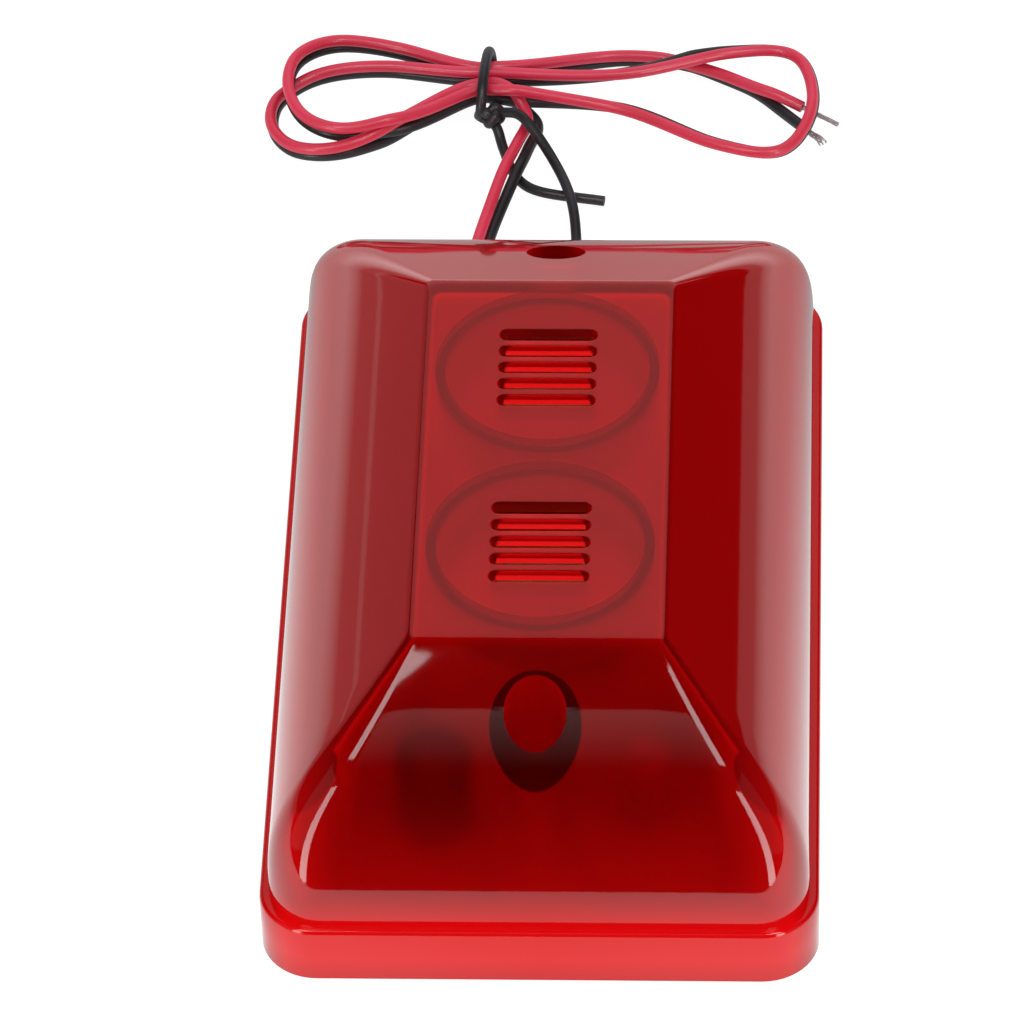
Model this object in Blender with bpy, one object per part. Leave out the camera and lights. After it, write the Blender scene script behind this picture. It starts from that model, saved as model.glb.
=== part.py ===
"""Wired strobe siren with two piezo sounders, for a wall.

Lengths are in metres. The back of the base plate lies on the plane z = 0 and +Z points away
from the wall. +Y runs along the housing, towards the end where the supply cable leaves.
The origin is the centre of the back of the housing.
"""
import math

import bmesh
import bpy
import numpy as np
from mathutils import Matrix, Vector

MM = 0.001
GAP = 0.3 * MM

# Housing
HALF_LENGTH = 61.0 * MM
HALF_WIDTH = 36.5 * MM
SKIRT_CORNER = 7.5 * MM
SKIRT_HEIGHT = 9.25 * MM
SKIRT_EDGE = 0.6 * MM
SKIRT_WALL = 2.0 * MM
COVER_HEIGHT = 43.0 * MM
COVER_WALL = 1.8 * MM
DOME_HALF_LENGTH = 59.8 * MM
DOME_HALF_WIDTH = 35.3 * MM
DOME_CORNER_FOOT = 6.8 * MM
DOME_CORNER_MIDDLE = 6.6 * MM
DOME_CORNER_TOP = 1.5 * MM
TOP_HALF_WIDTH = 16.5 * MM
TOP_FRONT = 40.5 * MM
TOP_REAR = 26.5 * MM
CORNER_STEPS = 5
DOME_STEPS = 9

# Each slope of the dome is one curve: its angle at the flat top, and the reach of its two handles.
SIDE_SLOPE = (math.radians(39.5), 22.0 * MM, 14.0 * MM)
FRONT_SLOPE = (math.radians(30), 22.0 * MM, 18.0 * MM)
REAR_SLOPE = (math.radians(31.5), 33.0 * MM, 15.0 * MM)

# Sounders
SOUNDER_Y = (-22.9 * MM, 9.8 * MM)
CHAMBER_OUTER = 14.9 * MM
CHAMBER_INNER = 13.65 * MM
CHAMBER_BOTTOM = 34.5 * MM
DISC_RADIUS = 13.3 * MM
DISC_Z = 37.0 * MM
DISC_THICKNESS = 0.4 * MM
CERAMIC_RADIUS = 10.0 * MM
CERAMIC_THICKNESS = 0.3 * MM
GLUE_WIDTH = 1.6 * MM
GLUE_HEIGHT = 1.5 * MM
SLOTS = 5
SLOT_PITCH = 3.13 * MM
SLOT_LENGTH = 13.0 * MM
SLOT_WIDTH = 2.0 * MM

# Mounting screw wells
WELL_Y = (-48.6 * MM, 43.0 * MM)
WELL_OUTER = 5.95 * MM
WELL_INNER = 4.05 * MM
MOUNT_HOLE = 2.3 * MM
SEAT_RADIUS = 3.7 * MM
SEAT_TOP = 3.1 * MM

# Base plate and the screws that hold the cover to it
PLATE_THICKNESS = 2.5 * MM
PLATE_CORNER = 5.2 * MM
CASE_SCREW_X = 28.5 * MM
CASE_SCREW_Y = (-51.5 * MM, 51.5 * MM)
CASE_BOSS = 3.2 * MM
CASE_BOSS_TOP = 9.5 * MM
CASE_PILOT = 1.4 * MM
CASE_SHANK = 1.1 * MM
CASE_SCREW_LENGTH = 8.0 * MM
CASE_HEAD = 2.2 * MM
CASE_HEAD_HEIGHT = 1.1 * MM

# Circuit board
BOARD_HALF_WIDTH = 24.0 * MM
BOARD_FRONT = -52.0 * MM
BOARD_REAR = 34.0 * MM
BOARD_BOTTOM = 6.0 * MM
BOARD_THICKNESS = 1.6 * MM
BOARD_TOP = BOARD_BOTTOM + BOARD_THICKNESS
BOARD_SCREWS = ((-20.0 * MM, 0.0), (20.0 * MM, 0.0))
BOARD_POST = 2.8 * MM
BOARD_HOLE = 1.4 * MM
BOARD_SHANK = 1.0 * MM
BOARD_SCREW_LENGTH = 5.0 * MM
PART_Z = BOARD_TOP + GAP

# Parts on the board
COIL_XY = (-14.0 * MM, -40.0 * MM)
COIL_HEIGHT = 12.5 * MM
LED_XY = ((-18.0 * MM, -24.0 * MM), (18.0 * MM, -24.0 * MM),
          (-18.0 * MM, 24.0 * MM), (18.0 * MM, 24.0 * MM))
CHIP_XY = (6.0 * MM, -6.0 * MM)
TRANSISTOR_XY = ((-8.0 * MM, -2.0 * MM), (-8.0 * MM, 6.0 * MM))
CAPACITOR_XY = (14.0 * MM, -38.0 * MM)
RESISTOR_XY = ((8.0 * MM, 6.0 * MM), (8.0 * MM, 11.0 * MM), (8.0 * MM, 16.0 * MM))
DIODE_XY = (-8.0 * MM, 16.0 * MM)

# Supply cable
WIRE_RADIUS = 0.85 * MM
WIRE_PITCH = 1.95 * MM
CABLE_X = -14.0 * MM
NOTCH_HALF_WIDTH = 2.9 * MM
NOTCH_HEIGHT = 2.6 * MM
LEAD_RADIUS = 0.5 * MM
BARE_RADIUS = 0.45 * MM
BARE_LENGTH = 5.0 * MM
WIRE_SIDES = 8
SPLINE_STEPS = 3

# Hank: figure-eight lobes that meet at the tie
TIE_X = -12.5 * MM
TIE_Y = 109.4 * MM
TIE_HALF_SPAN = 2.6 * MM
BUNDLE_LOW = 3.2 * MM
BUNDLE_HIGH = 5.0 * MM
TIE_RADIUS = 0.75 * MM
KNOT = Vector((-11.6, 103.4, 3.6)) * MM
KNOT_RADIUS = 2.0 * MM

# How strands that cross are pushed apart
SETTLE_STEP = 1.0 * MM
SETTLE_GAP = 0.25 * MM
SETTLE_ROUNDS = 200
FLOOR_GAP = 0.05 * MM


def clear_scene():
    for obj in list(bpy.data.objects):
        bpy.data.objects.remove(obj, do_unlink=True)


def material(name, colour, roughness, metallic=0.0):
    """A plain Principled material."""
    made = bpy.data.materials.new(name)
    made.use_nodes = True
    shader = made.node_tree.nodes["Principled BSDF"]
    shader.inputs["Base Color"].default_value = (*colour, 1.0)
    shader.inputs["Roughness"].default_value = roughness
    shader.inputs["Metallic"].default_value = metallic
    return made


def place(name, bm, finish, location=(0, 0, 0), smooth=True):
    """Turn a bmesh into an object with one material."""
    bmesh.ops.recalc_face_normals(bm, faces=bm.faces)
    mesh = bpy.data.meshes.new(name)
    bm.to_mesh(mesh)
    bm.free()
    mesh.materials.append(finish)
    if smooth:
        mesh.shade_smooth()
        mesh.set_sharp_from_angle(angle=math.radians(35))
    obj = bpy.data.objects.new(name, mesh)
    obj.location = location
    bpy.context.collection.objects.link(obj)
    return obj


def as_cutter(name, bm):
    """A closed shape that is only used to cut another."""
    bmesh.ops.recalc_face_normals(bm, faces=bm.faces)
    mesh = bpy.data.meshes.new(name)
    bm.to_mesh(mesh)
    bm.free()
    obj = bpy.data.objects.new(name, mesh)
    obj.hide_render = True
    obj.display_type = "WIRE"
    bpy.context.collection.objects.link(obj)
    return obj


def combine(obj, other, operation):
    """Cut or join with a Boolean that stays on the object."""
    modifier = obj.modifiers.new(other.name, "BOOLEAN")
    modifier.object = other
    modifier.operation = operation
    modifier.solver = "EXACT"


def add_loft(bm, loops):
    """Join loops of equal length into one closed skin, with a flat cap at each end."""
    rings = [[bm.verts.new(point) for point in loop] for loop in loops]
    count = len(rings[0])
    for low, high in zip(rings, rings[1:]):
        for i in range(count):
            j = (i + 1) % count
            bm.faces.new((low[i], low[j], high[j], high[i]))
    bm.faces.new(list(reversed(rings[0])))
    bm.faces.new(rings[-1])


def add_turned(bm, profile, centre=(0, 0), segments=24):
    """Turn a profile of (radius, z) round a vertical axis; the two ends are closed flat."""
    loops = []
    for radius, z in profile:
        loop = []
        for i in range(segments):
            angle = 2 * math.pi * i / segments
            x = centre[0] + radius * math.cos(angle)
            y = centre[1] + radius * math.sin(angle)
            loop.append((x, y, z))
        loops.append(loop)
    add_loft(bm, loops)


def add_ring(bm, outer, inner, low, high, centre=(0, 0), segments=32):
    """A flat-ended tube on a vertical axis."""
    rings = []
    for radius, z in ((outer, low), (outer, high), (inner, high), (inner, low)):
        ring = []
        for i in range(segments):
            angle = 2 * math.pi * i / segments
            x = centre[0] + radius * math.cos(angle)
            y = centre[1] + radius * math.sin(angle)
            ring.append(bm.verts.new((x, y, z)))
        rings.append(ring)
    for a, b in zip(rings, rings[1:] + rings[:1]):
        for i in range(segments):
            j = (i + 1) % segments
            bm.faces.new((a[i], a[j], b[j], b[i]))


def add_box(bm, low, high):
    """A box between two corners."""
    centre = (Vector(low) + Vector(high)) / 2
    size = Vector(high) - Vector(low)
    matrix = Matrix.Translation(centre) @ Matrix.Diagonal((*size, 1.0))
    bmesh.ops.create_cube(bm, size=1.0, matrix=matrix)


def rounded_loop(half_width, front, rear, corner, z):
    """A rounded rectangle at height z, from y = -front to y = rear."""
    centres = ((half_width - corner, rear - corner), (corner - half_width, rear - corner),
               (corner - half_width, corner - front), (half_width - corner, corner - front))
    loop = []
    for quarter, (x, y) in enumerate(centres):
        for i in range(CORNER_STEPS + 1):
            angle = math.pi / 2 * (quarter + i / CORNER_STEPS)
            loop.append((x + corner * math.cos(angle), y + corner * math.sin(angle), z))
    return loop


def slope_reach(z, top, foot, slope):
    """How far out a slope of the dome is at height z.

    The slope is a cubic curve from top to foot, both (reach, z). It leaves the flat top at the
    slope's angle and meets the skirt upright.
    """
    angle, top_handle, foot_handle = slope
    reach = (top[0], top[0] + top_handle * math.cos(angle), foot[0], foot[0])
    height = (top[1], top[1] - top_handle * math.sin(angle), foot[1] + foot_handle, foot[1])

    def curve(points, t):
        s = 1 - t
        return (points[0] * s ** 3 + 3 * points[1] * s * s * t
                + 3 * points[2] * s * t * t + points[3] * t ** 3)

    low, high = 0.0, 1.0
    for _ in range(40):
        middle = (low + high) / 2
        if curve(height, middle) > z:
            low = middle
        else:
            high = middle
    return curve(reach, low)


def dome_loops(wall, foot_z, top_z):
    """Loops of the dome, moved inwards by the wall."""
    edge = wall / 2
    loops = []
    for i in range(DOME_STEPS + 1):
        t = math.sin(math.pi / 2 * i / DOME_STEPS) if i < DOME_STEPS else 1.0
        z = foot_z + (top_z - foot_z) * t
        side = slope_reach(z, (TOP_HALF_WIDTH - edge, top_z), (DOME_HALF_WIDTH - wall, foot_z), SIDE_SLOPE)
        front = slope_reach(z, (TOP_FRONT - edge, top_z), (DOME_HALF_LENGTH - wall, foot_z), FRONT_SLOPE)
        rear = slope_reach(z, (TOP_REAR - edge, top_z), (DOME_HALF_LENGTH - wall, foot_z), REAR_SLOPE)
        foot_share = (1 - t) ** 2
        middle_share = 2 * t * (1 - t)
        corner = (DOME_CORNER_FOOT * foot_share + DOME_CORNER_MIDDLE * middle_share
                  + DOME_CORNER_TOP * t * t - wall * (1 - t))
        loops.append(rounded_loop(side, front, rear, corner, z))
    return loops


def slot_loop(centre_y, z):
    """Outline of one sound slot, with round ends."""
    radius = SLOT_WIDTH / 2
    straight = SLOT_LENGTH / 2 - radius
    loop = []
    for side, start in ((1, -math.pi / 2), (-1, math.pi / 2)):
        for i in range(7):
            angle = start + math.pi * i / 6
            x = side * straight + radius * math.cos(angle)
            loop.append((x, centre_y + radius * math.sin(angle), z))
    return loop


def front_cover(finish):
    """The translucent shell: skirt and dome less the inside, which leaves tubes and bosses standing."""
    bm = bmesh.new()
    skirt = [rounded_loop(HALF_WIDTH, HALF_LENGTH, HALF_LENGTH, SKIRT_CORNER, 0.0),
             rounded_loop(HALF_WIDTH, HALF_LENGTH, HALF_LENGTH, SKIRT_CORNER, SKIRT_HEIGHT - SKIRT_EDGE),
             rounded_loop(HALF_WIDTH - SKIRT_EDGE, HALF_LENGTH - SKIRT_EDGE, HALF_LENGTH - SKIRT_EDGE,
                          SKIRT_CORNER - SKIRT_EDGE, SKIRT_HEIGHT)]
    add_loft(bm, skirt + dome_loops(0.0, SKIRT_HEIGHT, COVER_HEIGHT))
    cover = place("front_cover", bm, finish)

    inner_foot = SKIRT_HEIGHT - SKIRT_WALL
    inside_width = HALF_WIDTH - SKIRT_WALL
    inside_length = HALF_LENGTH - SKIRT_WALL
    inside_corner = SKIRT_CORNER - SKIRT_WALL
    bm = bmesh.new()
    hollow = [rounded_loop(inside_width, inside_length, inside_length, inside_corner, -MM),
              rounded_loop(inside_width, inside_length, inside_length, inside_corner, inner_foot)]
    add_loft(bm, hollow + dome_loops(COVER_WALL, inner_foot, COVER_HEIGHT - COVER_WALL))
    inside = as_cutter("cover_inside", bm)

    bm = bmesh.new()
    above = COVER_HEIGHT + MM
    for y in WELL_Y:
        add_turned(bm, ((WELL_OUTER, PLATE_THICKNESS + GAP), (WELL_OUTER, above)), (0, y))
    for y in SOUNDER_Y:
        add_ring(bm, CHAMBER_OUTER, CHAMBER_INNER, CHAMBER_BOTTOM, above, (0, y), 40)
    for y in CASE_SCREW_Y:
        for x in (-CASE_SCREW_X, CASE_SCREW_X):
            add_turned(bm, ((CASE_BOSS, PLATE_THICKNESS + GAP), (CASE_BOSS, above)), (x, y), 16)
    standing = as_cutter("standing_features", bm)
    combine(inside, standing, "DIFFERENCE")
    combine(cover, inside, "DIFFERENCE")

    bm = bmesh.new()
    for y in WELL_Y:
        add_turned(bm, ((WELL_INNER, -MM), (WELL_INNER, above)), (0, y))
    for y in CASE_SCREW_Y:
        for x in (-CASE_SCREW_X, CASE_SCREW_X):
            add_turned(bm, ((CASE_PILOT, 0.0), (CASE_PILOT, CASE_BOSS_TOP)), (x, y), 12)
    for centre_y in SOUNDER_Y:
        for i in range(SLOTS):
            y = centre_y + (i - (SLOTS - 1) / 2) * SLOT_PITCH
            add_loft(bm, [slot_loop(y, COVER_HEIGHT - 2 * COVER_WALL), slot_loop(y, above)])
    add_box(bm, (CABLE_X - NOTCH_HALF_WIDTH, HALF_LENGTH - 2 * SKIRT_WALL, -MM),
            (CABLE_X + NOTCH_HALF_WIDTH, HALF_LENGTH + MM, NOTCH_HEIGHT))
    holes = as_cutter("cover_holes", bm)
    combine(cover, holes, "DIFFERENCE")
    return cover


def base_plate(finish):
    """The back plate, with board posts, raised seats for the wall screws, screw holes and a cable notch."""
    bm = bmesh.new()
    width = HALF_WIDTH - SKIRT_WALL - GAP
    length = HALF_LENGTH - SKIRT_WALL - GAP
    add_loft(bm, [rounded_loop(width, length, length, PLATE_CORNER, 0.0),
                  rounded_loop(width, length, length, PLATE_CORNER, PLATE_THICKNESS)])
    plate = place("base_plate", bm, finish)

    bm = bmesh.new()
    for x, y in BOARD_SCREWS:
        add_turned(bm, ((BOARD_POST, PLATE_THICKNESS / 2), (BOARD_POST, BOARD_BOTTOM - GAP)), (x, y), 16)
    for y in WELL_Y:
        add_turned(bm, ((SEAT_RADIUS, PLATE_THICKNESS / 2), (SEAT_RADIUS, SEAT_TOP)), (0, y))
    posts = as_cutter("posts_and_seats", bm)
    combine(plate, posts, "UNION")

    bm = bmesh.new()
    below = -MM
    for y in WELL_Y:
        add_turned(bm, ((MOUNT_HOLE, below), (MOUNT_HOLE, SEAT_TOP + MM)), (0, y), 16)
    for y in CASE_SCREW_Y:
        for x in (-CASE_SCREW_X, CASE_SCREW_X):
            seat = CASE_HEAD_HEIGHT + GAP
            hole = CASE_SHANK + GAP
            profile = ((CASE_HEAD + GAP, below), (CASE_HEAD + GAP, seat), (hole, seat),
                       (hole, PLATE_THICKNESS + MM))
            add_turned(bm, profile, (x, y), 16)
    for x, y in BOARD_SCREWS:
        add_turned(bm, ((BOARD_HOLE, PLATE_THICKNESS / 2), (BOARD_HOLE, BOARD_BOTTOM + MM)), (x, y), 12)
    add_box(bm, (CABLE_X - NOTCH_HALF_WIDTH, length - 12 * MM, below),
            (CABLE_X + NOTCH_HALF_WIDTH, length + MM, PLATE_THICKNESS + MM))
    combine(plate, as_cutter("plate_holes", bm), "DIFFERENCE")
    return plate


def circuit_board(finish):
    """The board, notched round the front screw well."""
    bm = bmesh.new()
    add_box(bm, (-BOARD_HALF_WIDTH, BOARD_FRONT, BOARD_BOTTOM), (BOARD_HALF_WIDTH, BOARD_REAR, BOARD_TOP))
    board = place("circuit_board", bm, finish, smooth=False)
    bm = bmesh.new()
    low, high = BOARD_BOTTOM - MM, BOARD_TOP + MM
    add_turned(bm, ((WELL_OUTER + 2 * GAP, low), (WELL_OUTER + 2 * GAP, high)), (0, WELL_Y[0]))
    for x, y in BOARD_SCREWS:
        add_turned(bm, ((BOARD_HOLE, low), (BOARD_HOLE, high)), (x, y), 12)
    combine(board, as_cutter("board_holes", bm), "DIFFERENCE")
    return board


def sounder(prefix, y, brass, ceramic, glue):
    """A brass disc with its ceramic layer below, glued into its chamber."""
    bm = bmesh.new()
    add_turned(bm, ((DISC_RADIUS, DISC_Z), (DISC_RADIUS, DISC_Z + DISC_THICKNESS)), (0, y), 40)
    place(prefix + "_piezo_disc", bm, brass)
    bm = bmesh.new()
    top = DISC_Z - GAP
    add_turned(bm, ((CERAMIC_RADIUS, top - CERAMIC_THICKNESS), (CERAMIC_RADIUS, top)), (0, y), 32)
    place(prefix + "_piezo_ceramic", bm, ceramic)
    bm = bmesh.new()
    add_ring(bm, DISC_RADIUS, DISC_RADIUS - GLUE_WIDTH, top - GLUE_HEIGHT, top, (0, y), 40)
    place(prefix + "_glue_ring", bm, glue)


def step_up_coil(ferrite, copper, sleeve):
    """A drum core wound with copper inside black heat-shrink."""
    low = PART_Z
    high = low + COIL_HEIGHT
    flange = 4.1 * MM
    core = 1.9 * MM
    web = 1.4 * MM
    bm = bmesh.new()
    add_turned(bm, ((flange, low), (flange, low + web), (core, low + web), (core, high - web),
                    (flange, high - web), (flange, high)), COIL_XY, 20)
    place("coil_core", bm, ferrite)
    bm = bmesh.new()
    add_ring(bm, flange - 2 * GAP, core + GAP, low + web + GAP, high - web - GAP, COIL_XY, 20)
    place("coil_winding", bm, copper)
    bm = bmesh.new()
    add_ring(bm, flange + 3 * GAP, flange + GAP, low, high + GAP, COIL_XY, 20)
    place("coil_sleeve", bm, sleeve)


def strobe_led(name, centre, finish):
    """A five millimetre lamp with a flange and a domed tip."""
    radius = 2.5 * MM
    barrel = 6.1 * MM
    profile = [(radius + 0.4 * MM, PART_Z), (radius + 0.4 * MM, PART_Z + MM),
               (radius, PART_Z + MM), (radius, PART_Z + barrel)]
    for i in range(1, 4):
        angle = math.pi / 2 * i / 4
        profile.append((radius * math.cos(angle), PART_Z + barrel + radius * math.sin(angle)))
    profile.append((0.2 * radius, PART_Z + barrel + radius))
    bm = bmesh.new()
    add_turned(bm, profile, centre, 16)
    place(name, bm, finish)


def driver_chip(finish):
    """An eight-pin chip body with a slight draft."""
    x, y = CHIP_XY
    bm = bmesh.new()
    loops = []
    for z, inset in ((PART_Z, 0.2 * MM), (PART_Z + 1.6 * MM, 0.0), (PART_Z + 3.2 * MM, 0.3 * MM)):
        half_x, half_y = 3.2 * MM - inset, 4.7 * MM - inset
        loops.append([(x + half_x, y + half_y, z), (x - half_x, y + half_y, z),
                      (x - half_x, y - half_y, z), (x + half_x, y - half_y, z)])
    add_loft(bm, loops)
    place("driver_chip", bm, finish, smooth=False)


def transistor(name, centre, finish):
    """A small half-round transistor: a cylinder with a flat on its -Y side."""
    radius = 2.3 * MM
    flat = math.radians(50)
    steps = 10
    bm = bmesh.new()
    loops = []
    for z in (PART_Z, PART_Z + 4.6 * MM):
        loop = []
        for i in range(steps + 1):
            angle = -math.pi / 2 + flat + (2 * math.pi - 2 * flat) * i / steps
            loop.append((centre[0] + radius * math.cos(angle), centre[1] + radius * math.sin(angle), z))
        loops.append(loop)
    add_loft(bm, loops)
    place(name, bm, finish)


def smoothing_capacitor(finish):
    """An upright can with a crimped neck."""
    radius = 3.1 * MM
    bm = bmesh.new()
    low = PART_Z
    add_turned(bm, ((radius - 0.3 * MM, low), (radius, low + 0.4 * MM), (radius, low + 1.4 * MM),
                    (radius - 0.4 * MM, low + 1.9 * MM), (radius, low + 2.4 * MM),
                    (radius, low + 10.6 * MM), (radius - 0.4 * MM, low + 11.0 * MM)), CAPACITOR_XY, 20)
    place("smoothing_capacitor", bm, finish)


def lying_part(name, centre, radius, half_length, bulge, finish):
    """A resistor or diode lying along X, thicker at its ends by the bulge."""
    bm = bmesh.new()
    profile = ((radius * 0.6, -half_length), (radius + bulge, -half_length * 0.9),
               (radius + bulge, -half_length * 0.6), (radius, -half_length * 0.45),
               (radius, half_length * 0.45), (radius + bulge, half_length * 0.6),
               (radius + bulge, half_length * 0.9), (radius * 0.6, half_length))
    add_turned(bm, profile, segments=12)
    bmesh.ops.rotate(bm, verts=bm.verts, cent=(0, 0, 0), matrix=Matrix.Rotation(math.pi / 2, 3, "Y"))
    place(name, bm, finish, (centre[0], centre[1], PART_Z + radius + bulge))


def screw(name, location, shank, length, head, head_height, pitch, finish):
    """A self-tapping screw: pan head down, ribbed shank and a cone point up the local +Z."""
    profile = [(head * 0.7, 0.0), (head, head_height * 0.4), (head, head_height), (shank * 0.8, head_height)]
    turns = int((length - head_height - 2 * shank) / pitch)
    for i in range(turns):
        z = head_height + pitch * (i + 0.5)
        profile.append((shank, z))
        profile.append((shank * 0.78, z + pitch / 2))
    profile.append((0.1 * shank, length))
    bm = bmesh.new()
    add_turned(bm, profile, segments=12)
    return place(name, bm, finish, location)


def spline(points, steps):
    """Smooth path through the points (Catmull-Rom), with the given steps between two points."""
    padded = [2 * points[0] - points[1]] + list(points) + [2 * points[-1] - points[-2]]
    path = []
    for a, b, c, d in zip(padded, padded[1:], padded[2:], padded[3:]):
        for i in range(steps):
            t = i / steps
            path.append(0.5 * (2 * b + (c - a) * t + (2 * a - 5 * b + 4 * c - d) * t * t
                               + (3 * b - a - 3 * c + d) * t ** 3))
    path.append(points[-1])
    return path


def add_sweep(bm, path, radius, sides=WIRE_SIDES):
    """Sweep a circle along a path without twist."""
    normal = None
    loops = []
    for i, point in enumerate(path):
        ahead = path[min(i + 1, len(path) - 1)]
        behind = path[max(i - 1, 0)]
        tangent = (ahead - behind).normalized()
        if normal is None:
            normal = tangent.orthogonal().normalized()
        normal = (normal - tangent * normal.dot(tangent)).normalized()
        binormal = tangent.cross(normal)
        loop = []
        for k in range(sides):
            angle = 2 * math.pi * k / sides
            loop.append(point + radius * (math.cos(angle) * normal + math.sin(angle) * binormal))
        loops.append(loop)
    add_loft(bm, loops)


def mm(x, y, z):
    return Vector((x, y, z)) * MM


def lobe(side, reach, width, tilt, start, far_z, end, offset, neck=0, samples=8):
    """One lobe of the hank, as (red point, black offset) pairs.

    It leaves the tie at start, swings out to reach and comes back at end; start and end are
    (y, z) beside the tie. A positive width swings through -Y first. A neck keeps the two
    branches close together near the tie.
    """
    made = []
    for i in range(1, samples):
        u = i / samples
        along = reach * math.sin(math.pi * u)
        across = -width * math.sin(2 * math.pi * u) * math.sin(math.pi * u) ** neck
        y_tie = start[0] + (end[0] - start[0]) * u
        z_tie = start[1] + (end[1] - start[1]) * u
        share = math.sin(math.pi * u) ** 2
        x = side * (TIE_HALF_SPAN / MM + along * math.cos(tilt)) + across * math.sin(tilt) * side
        y = y_tie - along * math.sin(tilt) + across * math.cos(tilt)
        made.append((mm(x + TIE_X / MM, y + TIE_Y / MM, z_tie + (far_z - z_tie) * share), offset))
    return made


def tie_pass(direction, y, z, offset):
    """Two points, one at each side of the tie; direction is the way the cable runs through it."""
    made = []
    for side in (-direction, direction):
        made.append((Vector((TIE_X + side * TIE_HALF_SPAN, TIE_Y + y * MM, z * MM)), offset))
    return made


def cable_course():
    """Where the two wires run before they settle, as (red point, black offset) pairs.

    The cable leaves the board, runs out through the notch, and then passes the tie four times:
    left lobe, right lobe, second left lobe, and out to the free end.
    """
    high = BUNDLE_HIGH / MM
    under = (0.2, 0.68, -1.8)
    behind = (0.15, 1.5, -1.25)
    beside = (0.0, 0.3, -1.93)
    course = [(mm(-15.0, 40.0, 8.9), (1.95, 0.0, 0.0)), (mm(-15.0, 46.0, 7.0), (1.95, 0.0, 0.0)),
              (mm(-15.0, 52.5, 2.2), (1.95, 0.0, 0.0)), (mm(-15.0, 60.0, 1.25), (1.95, 0.0, 0.0)),
              (mm(-14.2, 69.4, 1.8), (1.7, 0.0, -0.9)), (mm(-12.6, 78.8, 2.6), (1.1, 0.0, -1.6)),
              (mm(-10.2, 88.6, 3.0), (1.1, 0.0, -1.6)), (mm(-7.6, 97.8, 2.9), (1.1, 0.3, -1.6)),
              (mm(-6.4, 104.0, 2.7), (1.1, 0.5, -1.5))]
    course += tie_pass(-1, -0.7, high - 0.2, beside)
    course += lobe(-1, 29.5, 7.7, math.radians(14.4), (-0.7, high), 2.6, (1.3, high), under)
    course += tie_pass(1, 1.3, high, beside)
    course += lobe(1, 44.9, -15.5, math.radians(5.2), (1.3, high), 4.7, (-2.6, high), behind, 1.6)
    course += tie_pass(-1, -2.6, high, beside)
    course += lobe(-1, 26.4, 8.4, math.radians(6.2), (-2.6, high), 6.2, (3.3, high - 0.5), under)
    course += tie_pass(1, 3.3, high - 0.5, (0.0, 0.3, -1.5))
    course += [(mm(3.5, 117.2, 2.65), under), (mm(11.3, 117.5, 2.65), under),
               (mm(16.3, 116.4, 2.65), under), (mm(21.3, 113.9, 2.65), under),
               (mm(27.0, 110.3, 2.5), under), (mm(33.5, 107.1, 2.1), (-0.4, -2.7, -1.1))]
    return course


def tie_course():
    """Where the tie runs: a long tail, one turn round the bundle, and a short tail."""
    centre = Vector((TIE_X, TIE_Y + 0.3 * MM, (BUNDLE_LOW + BUNDLE_HIGH) / 2))
    half_y = 6.0 * MM
    half_z = 3.5 * MM
    steps = 14
    pitch = 1.9 * MM
    turn = []
    for i in range(steps + 1):
        u = i / steps
        angle = math.radians(-150) - math.radians(300) * (1 - u)
        turn.append(centre + Vector((pitch * (0.5 - u), half_y * math.cos(angle), half_z * math.sin(angle))))
    long_tail = [mm(1.3, 70.0, 0.8), mm(1.2, 79.8, 1.2), mm(0.2, 87.0, 2.6), mm(-2.6, 95.0, 2.8),
                 mm(-7.0, 101.2, 5.4), KNOT + mm(1.4, 0.3, 0.9)]
    short_tail = [KNOT + mm(0.5, -0.9, -1.2), mm(-9.9, 99.3, 0.8), mm(-8.0, 93.6, 0.8),
                  mm(-4.4, 90.2, 0.8), mm(5.0, 88.2, 0.8)]
    return long_tail + turn + short_tail


def even_steps(paths):
    """Resample paths that run together, at even steps along the first of them."""
    lead = np.array(paths[0])
    lengths = np.linalg.norm(np.diff(lead, axis=0), axis=1)
    run = np.concatenate(([0.0], np.cumsum(lengths)))
    marks = np.linspace(0.0, run[-1], int(run[-1] / SETTLE_STEP) + 1)
    made = []
    for path in paths:
        path = np.array(path)
        made.append(np.stack([np.interp(marks, run, path[:, axis]) for axis in range(3)], axis=1))
    return made


def settle(strands, radii):
    """Push strands apart where they would pass through each other, and off the floor.

    Each round moves points that are too close to another strand, then smooths the moves along
    the strand so that it bends and doesn't kink. Points inside the housing stay put.
    """
    home = np.vstack(strands)
    owner = np.concatenate([np.full(len(strand), i) for i, strand in enumerate(strands)])
    order = np.concatenate([np.arange(len(strand)) for strand in strands])
    radius = np.array(radii)[owner]
    reach = radius[:, None] + radius[None, :] + SETTLE_GAP
    same = owner[:, None] == owner[None, :]
    along = np.abs(order[:, None] - order[None, :]) * SETTLE_STEP
    reach[same & (along < 4 * SETTLE_STEP)] = 0.0
    loose = (home[:, 1] > HALF_LENGTH + 2 * MM).astype(float)[:, None]
    moved = np.zeros_like(home)
    for _ in range(SETTLE_ROUNDS):
        points = home + moved
        gap = points[:, None, :] - points[None, :, :]
        distance = np.linalg.norm(gap, axis=2) + 1e-9
        push = np.clip(reach - distance, 0.0, None)
        moved += 0.4 * (gap / distance[:, :, None] * push[:, :, None]).sum(axis=1)
        for i in range(len(strands)):
            part = moved[owner == i]
            part[1:-1] = 0.8 * part[1:-1] + 0.1 * (part[:-2] + part[2:])
            moved[owner == i] = part
        moved *= loose
        moved[:, 2] = np.maximum(moved[:, 2], loose[:, 0] * (radius + FLOOR_GAP - home[:, 2]))
    settled = home + moved
    return [settled[owner == i] for i in range(len(strands))]


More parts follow.
